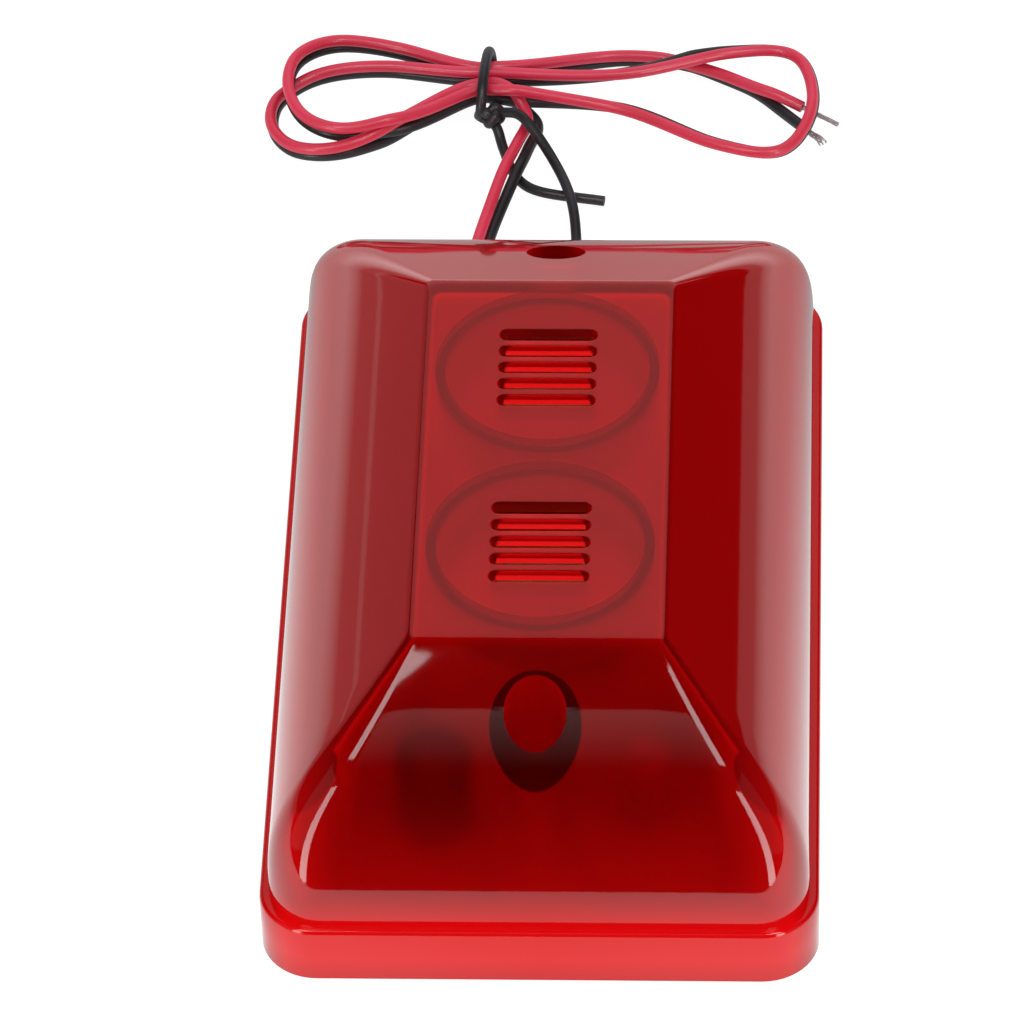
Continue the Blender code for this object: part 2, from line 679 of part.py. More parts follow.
def cable_paths():
    """Settled centre lines of the red wire, the black wire and the tie."""
    red, black = [], []
    for point, offset in cable_course():
        aside = mm(*offset)
        red.append(point)
        black.append(point + aside.normalized() * max(aside.length, WIRE_PITCH))
    wires = even_steps([spline(red, 8), spline(black, 8)])
    tie = even_steps([spline(tie_course(), 8)])
    paths = settle(wires + tie, (WIRE_RADIUS, WIRE_RADIUS, TIE_RADIUS))
    return [[Vector(point) for point in path] for path in paths]


def thinned(path, step):
    """Every step-th point of a path, and its last one."""
    kept = path[:-1:step]
    return kept + [path[-1]]


def supply_cable(paths, finishes, tinned):
    """Two insulated wires and their tinned ends."""
    for colour, path, finish in zip(("red", "black"), paths, finishes):
        bm = bmesh.new()
        add_sweep(bm, thinned(path, 3), WIRE_RADIUS)
        place(colour + "_wire", bm, finish)
        direction = (path[-1] - path[-4]).normalized()
        start = path[-1] + direction * GAP
        bm = bmesh.new()
        add_sweep(bm, [start, start + direction * BARE_LENGTH / 2,
                       start + direction * BARE_LENGTH], BARE_RADIUS)
        place(colour + "_wire_end", bm, tinned)


def hank_tie(path, finish):
    """The tie, with the knot on the front of the bundle."""
    bm = bmesh.new()
    add_sweep(bm, path, TIE_RADIUS, 6)
    tie = place("hank_tie", bm, finish)
    bm = bmesh.new()
    squash = Matrix.Translation(KNOT) @ Matrix.Diagonal((1.0, 0.9, 0.95, 1.0))
    bmesh.ops.create_uvsphere(bm, u_segments=12, v_segments=8, radius=KNOT_RADIUS, matrix=squash)
    combine(tie, as_cutter("knot", bm), "UNION")


def piezo_leads(red_pvc, black_pvc):
    """Thin leads from the board up to each sounder: one to the ceramic, one to the brass."""
    for prefix, y, board_y in zip(("front", "rear"), SOUNDER_Y, (-14.0 * MM, -9.0 * MM)):
        underside = DISC_Z - GAP - CERAMIC_THICKNESS - GAP
        poles = (("live", -3.0 * MM, y, red_pvc), ("ground", 3.0 * MM, y + 3 * MM, black_pvc))
        for pole, x, top_y, finish in poles:
            foot = Vector((x * 0.5, board_y, PART_Z))
            path = [foot, foot + mm(0.0, 0.0, 6.0), Vector((x * 2.5, (board_y + top_y) / 2, 22.0 * MM)),
                    Vector((x, top_y, 32.0 * MM)), Vector((x, top_y, underside))]
            bm = bmesh.new()
            add_sweep(bm, spline(path, SPLINE_STEPS), LEAD_RADIUS, 6)
            place(f"{prefix}_{pole}_lead", bm, finish)


def build():
    clear_scene()
    red_shell = material("red_shell", (0.62, 0.01, 0.015), 0.15)
    red_plastic = material("red_plastic", (0.5, 0.01, 0.015), 0.4)
    resin = material("resin", (0.55, 0.42, 0.2), 0.5)
    brass = material("brass", (0.75, 0.55, 0.2), 0.3, 1.0)
    ceramic = material("ceramic", (0.8, 0.78, 0.72), 0.5)
    glue = material("glue", (0.85, 0.83, 0.78), 0.4)
    ferrite = material("ferrite", (0.04, 0.04, 0.045), 0.6)
    copper = material("copper", (0.7, 0.3, 0.12), 0.3, 1.0)
    black_plastic = material("black_plastic", (0.02, 0.02, 0.02), 0.45)
    lamp = material("lamp", (0.9, 0.15, 0.12), 0.1)
    red_pvc = material("red_pvc", (0.65, 0.02, 0.05), 0.4)
    black_pvc = material("black_pvc", (0.02, 0.02, 0.025), 0.45)
    tinned = material("tinned", (0.75, 0.75, 0.76), 0.25, 1.0)
    zinc = material("zinc", (0.6, 0.6, 0.6), 0.35, 1.0)
    beige = material("beige", (0.6, 0.48, 0.32), 0.5)

    front_cover(red_shell)
    base_plate(red_plastic)
    circuit_board(resin)
    for prefix, y in zip(("front", "rear"), SOUNDER_Y):
        sounder(prefix, y, brass, ceramic, glue)
    step_up_coil(ferrite, copper, black_plastic)
    for i, centre in enumerate(LED_XY):
        strobe_led(f"strobe_led_{i + 1}", centre, lamp)
    driver_chip(black_plastic)
    for i, centre in enumerate(TRANSISTOR_XY):
        transistor(f"transistor_{i + 1}", centre, black_plastic)
    smoothing_capacitor(black_plastic)
    for i, centre in enumerate(RESISTOR_XY):
        lying_part(f"resistor_{i + 1}", centre, 1.0 * MM, 3.2 * MM, 0.2 * MM, beige)
    lying_part("diode", DIODE_XY, 1.3 * MM, 2.6 * MM, 0.0, black_plastic)

    number = 1
    for y in CASE_SCREW_Y:
        for x in (-CASE_SCREW_X, CASE_SCREW_X):
            screw(f"case_screw_{number}", (x, y, 0.2 * MM), CASE_SHANK, CASE_SCREW_LENGTH, CASE_HEAD,
                  CASE_HEAD_HEIGHT, 1.1 * MM, zinc)
            number += 1
    for i, (x, y) in enumerate(BOARD_SCREWS):
        head_height = 0.9 * MM
        top = BOARD_TOP + GAP + head_height
        board_screw = screw(f"board_screw_{i + 1}", (x, y, top), BOARD_SHANK, BOARD_SCREW_LENGTH, 1.9 * MM,
                            head_height, 0.8 * MM, zinc)
        board_screw.rotation_euler = (math.pi, 0, 0)
    piezo_leads(red_pvc, black_pvc)
    red_path, black_path, tie_path = cable_paths()
    supply_cable((red_path, black_path), (red_pvc, black_pvc), tinned)
    hank_tie(tie_path, black_pvc)


build()
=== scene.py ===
"""Looks of the alarm siren: translucent red cover, its inside, and the tied twin cable.

Everything is in metres in the frame of the CAD model. +Z points away from the wall and +Y
towards the cable end.
"""
from math import cos, pi, radians, sin, sqrt, tan

import bmesh
import bpy
import numpy as np
from mathutils import Matrix, Vector


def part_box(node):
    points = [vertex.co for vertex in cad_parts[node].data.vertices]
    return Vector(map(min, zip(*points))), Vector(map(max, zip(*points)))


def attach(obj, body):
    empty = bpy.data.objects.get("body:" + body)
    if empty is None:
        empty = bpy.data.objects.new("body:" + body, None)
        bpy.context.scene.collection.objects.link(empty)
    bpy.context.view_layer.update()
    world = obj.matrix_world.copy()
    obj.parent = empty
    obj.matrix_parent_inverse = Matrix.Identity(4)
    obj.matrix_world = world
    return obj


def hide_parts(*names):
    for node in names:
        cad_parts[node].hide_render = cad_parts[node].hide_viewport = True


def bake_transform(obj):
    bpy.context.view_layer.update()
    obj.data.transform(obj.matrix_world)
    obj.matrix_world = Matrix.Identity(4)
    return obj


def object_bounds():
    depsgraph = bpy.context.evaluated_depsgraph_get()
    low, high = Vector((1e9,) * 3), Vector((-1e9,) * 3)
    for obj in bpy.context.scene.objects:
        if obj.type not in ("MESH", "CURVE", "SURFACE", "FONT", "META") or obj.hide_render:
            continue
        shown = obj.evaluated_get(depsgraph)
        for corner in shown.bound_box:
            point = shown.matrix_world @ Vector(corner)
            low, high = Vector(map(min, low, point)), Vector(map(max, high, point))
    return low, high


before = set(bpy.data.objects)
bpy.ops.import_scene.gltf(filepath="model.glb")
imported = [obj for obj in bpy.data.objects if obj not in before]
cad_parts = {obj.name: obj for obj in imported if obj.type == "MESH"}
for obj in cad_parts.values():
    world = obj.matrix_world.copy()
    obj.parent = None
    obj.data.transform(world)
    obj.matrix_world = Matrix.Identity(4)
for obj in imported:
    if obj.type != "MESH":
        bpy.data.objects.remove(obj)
cad_low, cad_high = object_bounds()

MM = 0.001
GAP = 0.3 * MM


def middle(node):
    """X and Y of the middle of a CAD node."""
    low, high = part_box(node)
    return (low.x + high.x) / 2, (low.y + high.y) / 2


def centre_of(node):
    low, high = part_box(node)
    return (low + high) / 2


# Housing, read from the frame
HALF_WIDTH, HALF_LENGTH, COVER_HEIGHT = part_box("front_cover")[1]
PLATE_HALF_WIDTH, PLATE_HALF_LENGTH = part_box("base_plate")[1].xy
PLATE_THICKNESS = 2.5 * MM
board_low, board_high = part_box("circuit_board")

# Shape of the cover
SKIRT_CORNER = 7.5 * MM
SKIRT_HEIGHT = 9.25 * MM
SKIRT_CHAMFER = 0.3 * MM
SKIRT_EDGE = 0.6 * MM
SKIRT_WALL = 2.0 * MM
COVER_WALL = 1.8 * MM
DOME_HALF_LENGTH = HALF_LENGTH - 1.2 * MM
DOME_HALF_WIDTH = HALF_WIDTH - 1.2 * MM
DOME_CORNER_FOOT = 6.8 * MM
DOME_CORNER_MIDDLE = 6.6 * MM
DOME_CORNER_TOP = 1.5 * MM
TOP_HALF_WIDTH = 16.5 * MM
TOP_FRONT = 40.5 * MM
TOP_REAR = 26.5 * MM
TOP_FILLET = 1.2 * MM
CORNER_STEPS = 12
DOME_STEPS = 40
SIDE_STEPS = 24
END_STEPS = 10

# Each slope of the dome: its angle at the flat top, and the reach of its two handles
SIDE_SLOPE = (radians(39.5), 22.0 * MM, 14.0 * MM)
FRONT_SLOPE = (radians(30), 22.0 * MM, 18.0 * MM)
REAR_SLOPE = (radians(31.5), 33.0 * MM, 15.0 * MM)

# Sound chambers, slots, wells, bosses and their screws
SOUNDER_Y = [middle(n)[1] for n in ("front_piezo_disc", "rear_piezo_disc")]
CHAMBER_OUTER = 14.9 * MM
CHAMBER_INNER = 13.65 * MM
CHAMBER_BOTTOM = 34.5 * MM
SLOTS = 5
SLOT_PITCH = 3.13 * MM
SLOT_LENGTH = 13.0 * MM
SLOT_WIDTH = 2.0 * MM
SLOT_EDGE = 0.25 * MM
WELL_Y = (-48.6 * MM, 43.0 * MM)
WELL_OUTER = 5.95 * MM
WELL_INNER = 4.05 * MM
CASE_SCREW_X, CASE_SCREW_Y = middle("case_screw_4")
CASE_SCREWS = [(x, y) for x in (-CASE_SCREW_X, CASE_SCREW_X) for y in (-CASE_SCREW_Y, CASE_SCREW_Y)]
CASE_BOSS = 3.2 * MM
CASE_PILOT = 1.4 * MM
CASE_BOSS_TOP = 9.5 * MM

# Cable and its hank
WIRE_RADIUS = 0.85 * MM
WIRE_PITCH = 1.95 * MM
WIRE_X = -15.0 * MM
CABLE_X = -14.0 * MM
CABLE_FOOT = 33.5 * MM
CABLE_TAIL = 2.5 * MM
NOTCH_HALF_WIDTH = 2.9 * MM
NOTCH_HEIGHT = 2.6 * MM
TIE_X = -12.5 * MM
TIE_Y = 109.4 * MM
TIE_HALF_SPAN = 2.6 * MM
BUNDLE_LOW = 3.2 * MM
BUNDLE_HIGH = 5.0 * MM
TIE_RADIUS = 0.75 * MM
KNOT = Vector((-11.6, 103.4, 3.6)) * MM
KNOT_SCALE = 0.45 * MM
SETTLE_STEP = 1.0 * MM
SETTLE_GAP = 0.25 * MM
SETTLE_ROUNDS = 200
FLOOR_GAP = 0.05 * MM
STRANDS = 6
STRAND_RADIUS = 0.13 * MM

# Back plate
PLATE_CORNER = 5.2 * MM
PLATE_EDGE = 0.35 * MM
SEAT_RADIUS = 3.7 * MM
SEAT_TOP = 3.1 * MM
MOUNT_HOLE = 2.3 * MM
CASE_SEAT = 2.5 * MM
CASE_SEAT_DEPTH = 1.4 * MM
CASE_HOLE = 1.4 * MM
CHAMFER = 0.3 * MM

# Parts on the board and under the top
BOARD_SCREWS = [centre_of(f"board_screw_{i}").to_2d() for i in (1, 2)]
BOARD_HOLE = 1.4 * MM
GLUE_WIDTH = 1.6 * MM
LEAD_RADIUS = 0.5 * MM
LEAD_FOOT_Y = {"front": -14.0 * MM, "rear": -9.0 * MM}
LEAD_FOOT_X = 1.5 * MM
LEAD_TOP = 32.0 * MM
LEG_RADIUS = 0.28 * MM
LEG_BOTTOM = board_low.z - 0.9 * MM
LEG_BEND = 1.35 * MM
PIN_PITCH = 2.54 * MM
CHIP_ROW = 3.81 * MM
LAMP_RADIUS = 2.5 * MM
TRANSISTOR_RADIUS = 2.3 * MM
LYING_PARTS = ("resistor_1", "resistor_2", "resistor_3", "diode")


# ---------------------------------------------------------------- mesh helpers

def mm(x, y, z):
    return Vector((x, y, z)) * MM


def to_object(name, bm, look=None, solid=True):
    """Make an object of a bmesh; without a look it is a shape that only cuts or joins."""
    if solid:
        bmesh.ops.recalc_face_normals(bm, faces=bm.faces)
    mesh = bpy.data.meshes.new(name)
    bm.to_mesh(mesh)
    bm.free()
    if look:
        mesh.materials.append(look)
    obj = bpy.data.objects.new(name, mesh)
    obj.hide_render = look is None
    bpy.context.collection.objects.link(obj)
    return obj


def place(obj, body, node=None, sharp=35.0):
    """Shade a piece smooth up to an angle, hide the CAD part it stands for, and hang it on what it rides
    on.
    """
    obj.data.shade_smooth()
    obj.data.set_sharp_from_angle(angle=radians(sharp))
    if node:
        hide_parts(node)
    if body:
        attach(obj, body)
    return obj


def piece(name, bm, look, body, node=None, sharp=35.0):
    return place(to_object(name, bm, look), body, node, sharp)


def combine(obj, other, operation="DIFFERENCE"):
    """Cut or join a shape now, and drop it; it may be a bmesh."""
    if isinstance(other, bmesh.types.BMesh):
        other = to_object("tool", other)
    modifier = obj.modifiers.new("combine", "BOOLEAN")
    modifier.object = other
    modifier.operation = operation
    modifier.solver = "EXACT"
    bpy.context.view_layer.update()
    cut = bpy.data.meshes.new_from_object(obj.evaluated_get(bpy.context.evaluated_depsgraph_get()))
    obj.modifiers.clear()
    obj.data = cut
    bpy.data.objects.remove(other)


def add_loft(bm, loops, closed=False):
    """Skin a row of loops, into a new bmesh if there is none yet. The ends are capped, or the last
    loop is joined to the first."""
    if bm is None:
        bm = bmesh.new()
    rings = [[bm.verts.new(point) for point in loop] for loop in loops]
    count = len(rings[0])
    for low, high in zip(rings, rings[1:] + rings[:1] if closed else rings[1:]):
        for i in range(count):
            j = (i + 1) % count
            bm.faces.new((low[i], low[j], high[j], high[i]))
    if not closed:
        bm.faces.new(list(reversed(rings[0])))
        bm.faces.new(rings[-1])
    return bm


def polar(x, y, radius, angle, z):
    """The point at height z that is a radius away from an upright axis."""
    return x + radius * cos(angle), y + radius * sin(angle), z


def circle(radius, z, centre=(0.0, 0.0), segments=48):
    return [polar(*centre, radius, 2 * pi * i / segments, z) for i in range(segments)]


def add_turned(bm, profile, centre=(0.0, 0.0), segments=48, closed=False):
    """Turn a profile of (radius, height) pairs round an upright axis."""
    return add_loft(bm, [circle(radius, z, centre, segments) for radius, z in profile], closed)


def add_box(bm, low, high):
    centre = (Vector(low) + Vector(high)) / 2
    size = Vector(high) - Vector(low)
    matrix = Matrix.Translation(centre) @ Matrix.Diagonal((*size, 1.0))
    bmesh.ops.create_cube(bm, size=1.0, matrix=matrix)


def rim(steps):
    """Points on a rounded rim, as shares of its radius: how far inwards and how far down."""
    angles = [pi / 2 * i / steps for i in range(steps + 1)]
    return [(1 - cos(angle), 1 - sin(angle)) for angle in angles]


def softened(radius, low, high, edge):
    """Profile of a cylinder with rounded rims."""
    bottom = [(radius - edge * inset, low + edge * rise) for rise, inset in rim(3)]
    return bottom + [(radius - edge * inset, high - edge * drop) for inset, drop in rim(3)]


def rounded_loop(half_width, front, rear, corner, z, side_steps=1, end_steps=1):
    """A rounded rectangle at height z; the straight stretches can be divided."""
    corners = []
    centres = ((half_width - corner, rear - corner), (corner - half_width, rear - corner),
               (corner - half_width, corner - front), (half_width - corner, corner - front))
    for quarter, (x, y) in enumerate(centres):
        arc = []
        for i in range(CORNER_STEPS + 1):
            angle = pi / 2 * (quarter + i / CORNER_STEPS)
            arc.append(Vector(polar(x, y, corner, angle, z)))
        corners.append(arc)
    loop = []
    for quarter, arc in enumerate(corners):
        loop += arc
        after = corners[(quarter + 1) % 4][0]
        steps = end_steps if quarter % 2 == 0 else side_steps
        for i in range(1, steps):
            loop.append(arc[-1].lerp(after, i / steps))
    return loop


# ---------------------------------------------------------------- cover

def slope_reach(z, top, foot, slope):
    """How far out a slope of the dome is at height z, on a cubic curve from top to foot."""
    angle, top_handle, foot_handle = slope
    reach = (top[0], top[0] + top_handle * cos(angle), foot[0], foot[0])
    height = (top[1], top[1] - top_handle * sin(angle), foot[1] + foot_handle, foot[1])

    def curve(points, t):
        s = 1 - t
        return (points[0] * s ** 3 + 3 * points[1] * s * s * t
                + 3 * points[2] * s * t * t + points[3] * t ** 3)

    low, high = 0.0, 1.0
    for _ in range(40):
        middle = (low + high) / 2
        if curve(height, middle) > z:
            low = middle
        else:
            high = middle
    return curve(reach, low)


def dome_loops(wall, foot_z, top_z):
    """Loops of the dome moved inwards by the wall; the edge of the flat top is rounded."""
    edge = wall / 2
    side_foot = (DOME_HALF_WIDTH - wall, foot_z)
    end_foot = (DOME_HALF_LENGTH - wall, foot_z)
    loops = []
    drop = TOP_FILLET * 0.35
    for i in range(DOME_STEPS + 1):
        t = sin(pi / 2 * i / DOME_STEPS)
        z = foot_z + (top_z - drop - foot_z) * t
        t = (z - foot_z) / (top_z - foot_z)
        side = slope_reach(z, (TOP_HALF_WIDTH - edge, top_z), side_foot, SIDE_SLOPE)
        front = slope_reach(z, (TOP_FRONT - edge, top_z), end_foot, FRONT_SLOPE)
        rear = slope_reach(z, (TOP_REAR - edge, top_z), end_foot, REAR_SLOPE)
        corner = (DOME_CORNER_FOOT * (1 - t) ** 2 + DOME_CORNER_MIDDLE * 2 * t * (1 - t)
                  + DOME_CORNER_TOP * t * t - wall * (1 - t))
        loops.append(rounded_loop(side, front, rear, corner, z, SIDE_STEPS, END_STEPS))
    for share, height in ((0.0, -0.08), (0.6, 0.0), (1.4, 0.0)):
        inset = TOP_FILLET * share + edge
        loops.append(rounded_loop(TOP_HALF_WIDTH - inset, TOP_FRONT - inset, TOP_REAR - inset,
                                  DOME_CORNER_TOP - inset * 0.5, top_z + TOP_FILLET * height,
                                  SIDE_STEPS, END_STEPS))
    return loops


def skirt_loop(inset, z):
    return rounded_loop(HALF_WIDTH - inset, HALF_LENGTH - inset, HALF_LENGTH - inset,
                        SKIRT_CORNER - inset, z, SIDE_STEPS, END_STEPS)


def slot_loop(centre_y, widen, z):
    radius = SLOT_WIDTH / 2 + widen
    straight = SLOT_LENGTH / 2 - SLOT_WIDTH / 2
    loop = []
    for side, start in ((1, -pi / 2), (-1, pi / 2)):
        for i in range(13):
            angle = start + pi * i / 12
            loop.append(polar(side * straight, centre_y, radius, angle, z))
    return loop


def siren_cover(look):
    """The shell: skirt and dome less its inside, with tubes and bosses left standing."""
    above = COVER_HEIGHT + MM
    tube_foot = PLATE_THICKNESS + GAP
    inner_foot = SKIRT_HEIGHT - SKIRT_WALL
    bm = bmesh.new()
    skirt = [skirt_loop(SKIRT_CHAMFER, 0.0)]
    skirt += [skirt_loop(0.0, z) for z in (SKIRT_CHAMFER, SKIRT_HEIGHT / 2)]
    skirt += [skirt_loop(SKIRT_EDGE * inset, SKIRT_HEIGHT - SKIRT_EDGE * drop) for inset, drop in rim(4)]
    add_loft(bm, skirt + dome_loops(0.0, SKIRT_HEIGHT, COVER_HEIGHT))
    cover = to_object("cover_shell", bm, look)

    bm = bmesh.new()
    hollow = [skirt_loop(SKIRT_WALL, -MM), skirt_loop(SKIRT_WALL, inner_foot)]
    add_loft(bm, hollow + dome_loops(COVER_WALL, inner_foot, COVER_HEIGHT - COVER_WALL))
    inside = to_object("inside", bm)
    bm = bmesh.new()
    for y in WELL_Y:
        add_turned(bm, ((WELL_OUTER, tube_foot), (WELL_OUTER, above)), (0, y))
    chamber = ((CHAMBER_OUTER, CHAMBER_BOTTOM), (CHAMBER_OUTER, above), (CHAMBER_INNER, above),
               (CHAMBER_INNER, CHAMBER_BOTTOM))
    for y in SOUNDER_Y:
        add_turned(bm, chamber, (0, y), 64, closed=True)
    for spot in CASE_SCREWS:
        add_turned(bm, ((CASE_BOSS, tube_foot), (CASE_BOSS, above)), spot, 32)
    combine(inside, bm)
    combine(cover, inside)

    bm = bmesh.new()
    for y in WELL_Y:
        add_turned(bm, ((WELL_INNER, -MM), (WELL_INNER, above)), (0, y))
    for spot in CASE_SCREWS:
        add_turned(bm, ((CASE_PILOT, 0.0), (CASE_PILOT, CASE_BOSS_TOP)), spot, 24)
    for centre_y in SOUNDER_Y:
        for i in range(SLOTS):
            y = centre_y + (i - (SLOTS - 1) / 2) * SLOT_PITCH
            loops = [slot_loop(y, 0.0, COVER_HEIGHT - 2 * COVER_WALL)]
            for inset, drop in rim(3):
                loops.append(slot_loop(y, SLOT_EDGE * inset, COVER_HEIGHT - SLOT_EDGE * drop))
            add_loft(bm, loops + [slot_loop(y, SLOT_EDGE, above)])
    add_box(bm, (CABLE_X - NOTCH_HALF_WIDTH, HALF_LENGTH - 2 * SKIRT_WALL, -MM),
            (CABLE_X + NOTCH_HALF_WIDTH, HALF_LENGTH + MM, NOTCH_HEIGHT))
    combine(cover, bm)
    place(cover, "cover", "front_cover", 28)
    on_top = [v.index for v in cover.data.vertices if v.co.z > COVER_HEIGHT - 0.01 * MM]
    cover.vertex_groups.new(name="flat_top").add(on_top, 1.0, "REPLACE")
    even = cover.modifiers.new("even_shading", "WEIGHTED_NORMAL")
    even.keep_sharp = True
    even.vertex_group = "flat_top"


# ---------------------------------------------------------------- cable

def spline(points, steps):
    """Smooth path through the points (Catmull-Rom)."""
    padded = [2 * points[0] - points[1]] + list(points) + [2 * points[-1] - points[-2]]
    path = []
    for a, b, c, d in zip(padded, padded[1:], padded[2:], padded[3:]):
        for i in range(steps):
            t = i / steps
            path.append(0.5 * (2 * b + (c - a) * t + (2 * a - 5 * b + 4 * c - d) * t * t
                               + (3 * b - a - 3 * c + d) * t ** 3))
    path.append(points[-1])
    return path


def ends(path, i):
    """The points before and after one of a path, or the point itself at an end."""
    return path[max(i - 1, 0)], path[min(i + 1, len(path) - 1)]


def add_sweep(bm, path, radius, sides=20, rounded=0.0):
    """Sweep a circle along a path without twist."""
    normal = None
    loops = []
    for i, point in enumerate(path):
        before, after = ends(path, i)
        tangent = (after - before).normalized()
        if normal is None:
            normal = tangent.orthogonal().normalized()
        normal = (normal - tangent * normal.dot(tangent)).normalized()
        binormal = tangent.cross(normal)
        loop = []
        for k in range(sides):
            angle = 2 * pi * k / sides
            loop.append(point + radius * (cos(angle) * normal + sin(angle) * binormal))
        loops.append(loop)
    if rounded:
        caps = []
        for loop, along in ((loops[0], path[0] - path[1]), (loops[-1], path[-1] - path[-2])):
            centre = sum(loop, Vector()) / sides
            along = along.normalized() * rounded * 0.3
            caps.append([])
            for p in loop:
                caps[-1].append(centre + (p - centre) * (1 - rounded) + along * (p - centre).length)
        loops = [caps[0], *loops, caps[1]]
    return add_loft(bm, loops)


def lobe(side, reach, width, tilt, start, far_z, end, offset, neck=0, samples=8):
    """One lobe of the hank, as (red point, black offset) pairs, from start to end beside the tie."""
    pairs = []
    for i in range(1, samples):
        u = i / samples
        along = reach * sin(pi * u)
        across = -width * sin(2 * pi * u) * sin(pi * u) ** neck
        y_tie = start[0] + (end[0] - start[0]) * u
        z_tie = start[1] + (end[1] - start[1]) * u
        share = sin(pi * u) ** 2
        x = side * (TIE_HALF_SPAN / MM + along * cos(tilt)) + across * sin(tilt) * side
        y = y_tie - along * sin(tilt) + across * cos(tilt)
        pairs.append((mm(x + TIE_X / MM, y + TIE_Y / MM, z_tie + (far_z - z_tie) * share), offset))
    return pairs


def tie_pass(direction, y, z, offset):
    """Two points, one at each side of the tie."""
    made = []
    for side in (-direction, direction):
        made.append((Vector((TIE_X + side * TIE_HALF_SPAN, TIE_Y + y * MM, z * MM)), offset))
    return made


def cable_course():
    """Where the two wires run before they settle, as (red point, black offset) pairs."""
    high = BUNDLE_HIGH / MM
    under = (0.2, 0.68, -1.8)
    behind = (0.15, 1.5, -1.25)
    beside = (0.0, 0.3, -1.93)
    course = [(mm(-15.0, 40.0, 8.9), (1.95, 0.0, 0.0)), (mm(-15.0, 46.0, 7.0), (1.95, 0.0, 0.0)),
              (mm(-15.0, 52.5, 2.2), (1.95, 0.0, 0.0)), (mm(-15.0, 60.0, 1.25), (1.95, 0.0, 0.0)),
              (mm(-14.2, 69.4, 1.8), (1.7, 0.0, -0.9)), (mm(-12.6, 78.8, 2.6), (1.1, 0.0, -1.6)),
              (mm(-10.2, 88.6, 3.0), (1.1, 0.0, -1.6)), (mm(-7.6, 97.8, 2.9), (1.1, 0.3, -1.6)),
              (mm(-6.4, 104.0, 2.7), (1.1, 0.5, -1.5))]
    course += tie_pass(-1, -0.7, high - 0.2, beside)
    course += lobe(-1, 29.5, 7.7, radians(14.4), (-0.7, high), 2.6, (1.3, high), under)
    course += tie_pass(1, 1.3, high, beside)
    course += lobe(1, 44.9, -15.5, radians(5.2), (1.3, high), 4.7, (-2.6, high), behind, 1.6)
    course += tie_pass(-1, -2.6, high, beside)
    course += lobe(-1, 26.4, 8.4, radians(6.2), (-2.6, high), 6.2, (3.3, high - 0.5), under)
    course += tie_pass(1, 3.3, high - 0.5, (0.0, 0.3, -1.5))
    course += [(mm(3.5, 117.2, 2.65), under), (mm(11.3, 117.5, 2.65), under),
               (mm(16.3, 116.4, 2.65), under), (mm(21.3, 113.9, 2.65), under),
               (mm(27.0, 110.3, 2.5), under), (mm(33.5, 107.1, 2.1), (-0.4, -2.7, -1.1))]
    return course


def tie_course():
    """Where the tie runs: a long tail, one turn round the bundle, and a short tail."""
    centre = Vector((TIE_X, TIE_Y + 0.3 * MM, (BUNDLE_LOW + BUNDLE_HIGH) / 2))
    half_y = 6.0 * MM
    half_z = 3.5 * MM
    steps = 14
    pitch = 1.9 * MM
    turn = []
    for i in range(steps + 1):
        u = i / steps
        angle = radians(-150) - radians(300) * (1 - u)
        turn.append(centre + Vector((pitch * (0.5 - u), half_y * cos(angle), half_z * sin(angle))))
    long_tail = [mm(1.3, 70.0, 0.8), mm(1.2, 79.8, 1.2), mm(0.2, 87.0, 2.6), mm(-2.6, 95.0, 2.8),
                 mm(-7.0, 101.2, 5.4), KNOT + mm(1.4, 0.3, 0.9)]
    short_tail = [KNOT + mm(0.5, -0.9, -1.2), mm(-9.9, 99.3, 0.8), mm(-8.0, 93.6, 0.8),
                  mm(-4.4, 90.2, 0.8), mm(5.0, 88.2, 0.8)]
    return long_tail + turn + short_tail


def even_steps(paths):
    """Resample paths that run together, at even steps along the first of them."""
    lead = np.array(paths[0])
    lengths = np.linalg.norm(np.diff(lead, axis=0), axis=1)
    run = np.concatenate(([0.0], np.cumsum(lengths)))
    marks = np.linspace(0.0, run[-1], int(run[-1] / SETTLE_STEP) + 1)
    made = []
    for path in paths:
        path = np.array(path)
        made.append(np.stack([np.interp(marks, run, path[:, axis]) for axis in range(3)], axis=1))
    return made


def settle(strands, radii):
    """Push strands apart where they would pass through each other, and off the floor."""
    home = np.vstack(strands)
    owner = np.concatenate([np.full(len(strand), i) for i, strand in enumerate(strands)])
    order = np.concatenate([np.arange(len(strand)) for strand in strands])
    radius = np.array(radii)[owner]
    reach = radius[:, None] + radius[None, :] + SETTLE_GAP
    same = owner[:, None] == owner[None, :]
    along = np.abs(order[:, None] - order[None, :]) * SETTLE_STEP
    reach[same & (along < 4 * SETTLE_STEP)] = 0.0
    loose = (home[:, 1] > HALF_LENGTH + 2 * MM).astype(float)[:, None]
    moved = np.zeros_like(home)
    for _ in range(SETTLE_ROUNDS):
        points = home + moved
        gap = points[:, None, :] - points[None, :, :]
        distance = np.linalg.norm(gap, axis=2) + 1e-9
        push = np.clip(reach - distance, 0.0, None)
        moved += 0.4 * (gap / distance[:, :, None] * push[:, :, None]).sum(axis=1)
        for i in range(len(strands)):
            part = moved[owner == i]
            part[1:-1] = 0.8 * part[1:-1] + 0.1 * (part[:-2] + part[2:])
            moved[owner == i] = part
        moved *= loose
        moved[:, 2] = np.maximum(moved[:, 2], loose[:, 0] * (radius + FLOOR_GAP - home[:, 2]))
    settled = home + moved
    return [settled[owner == i] for i in range(len(strands))]


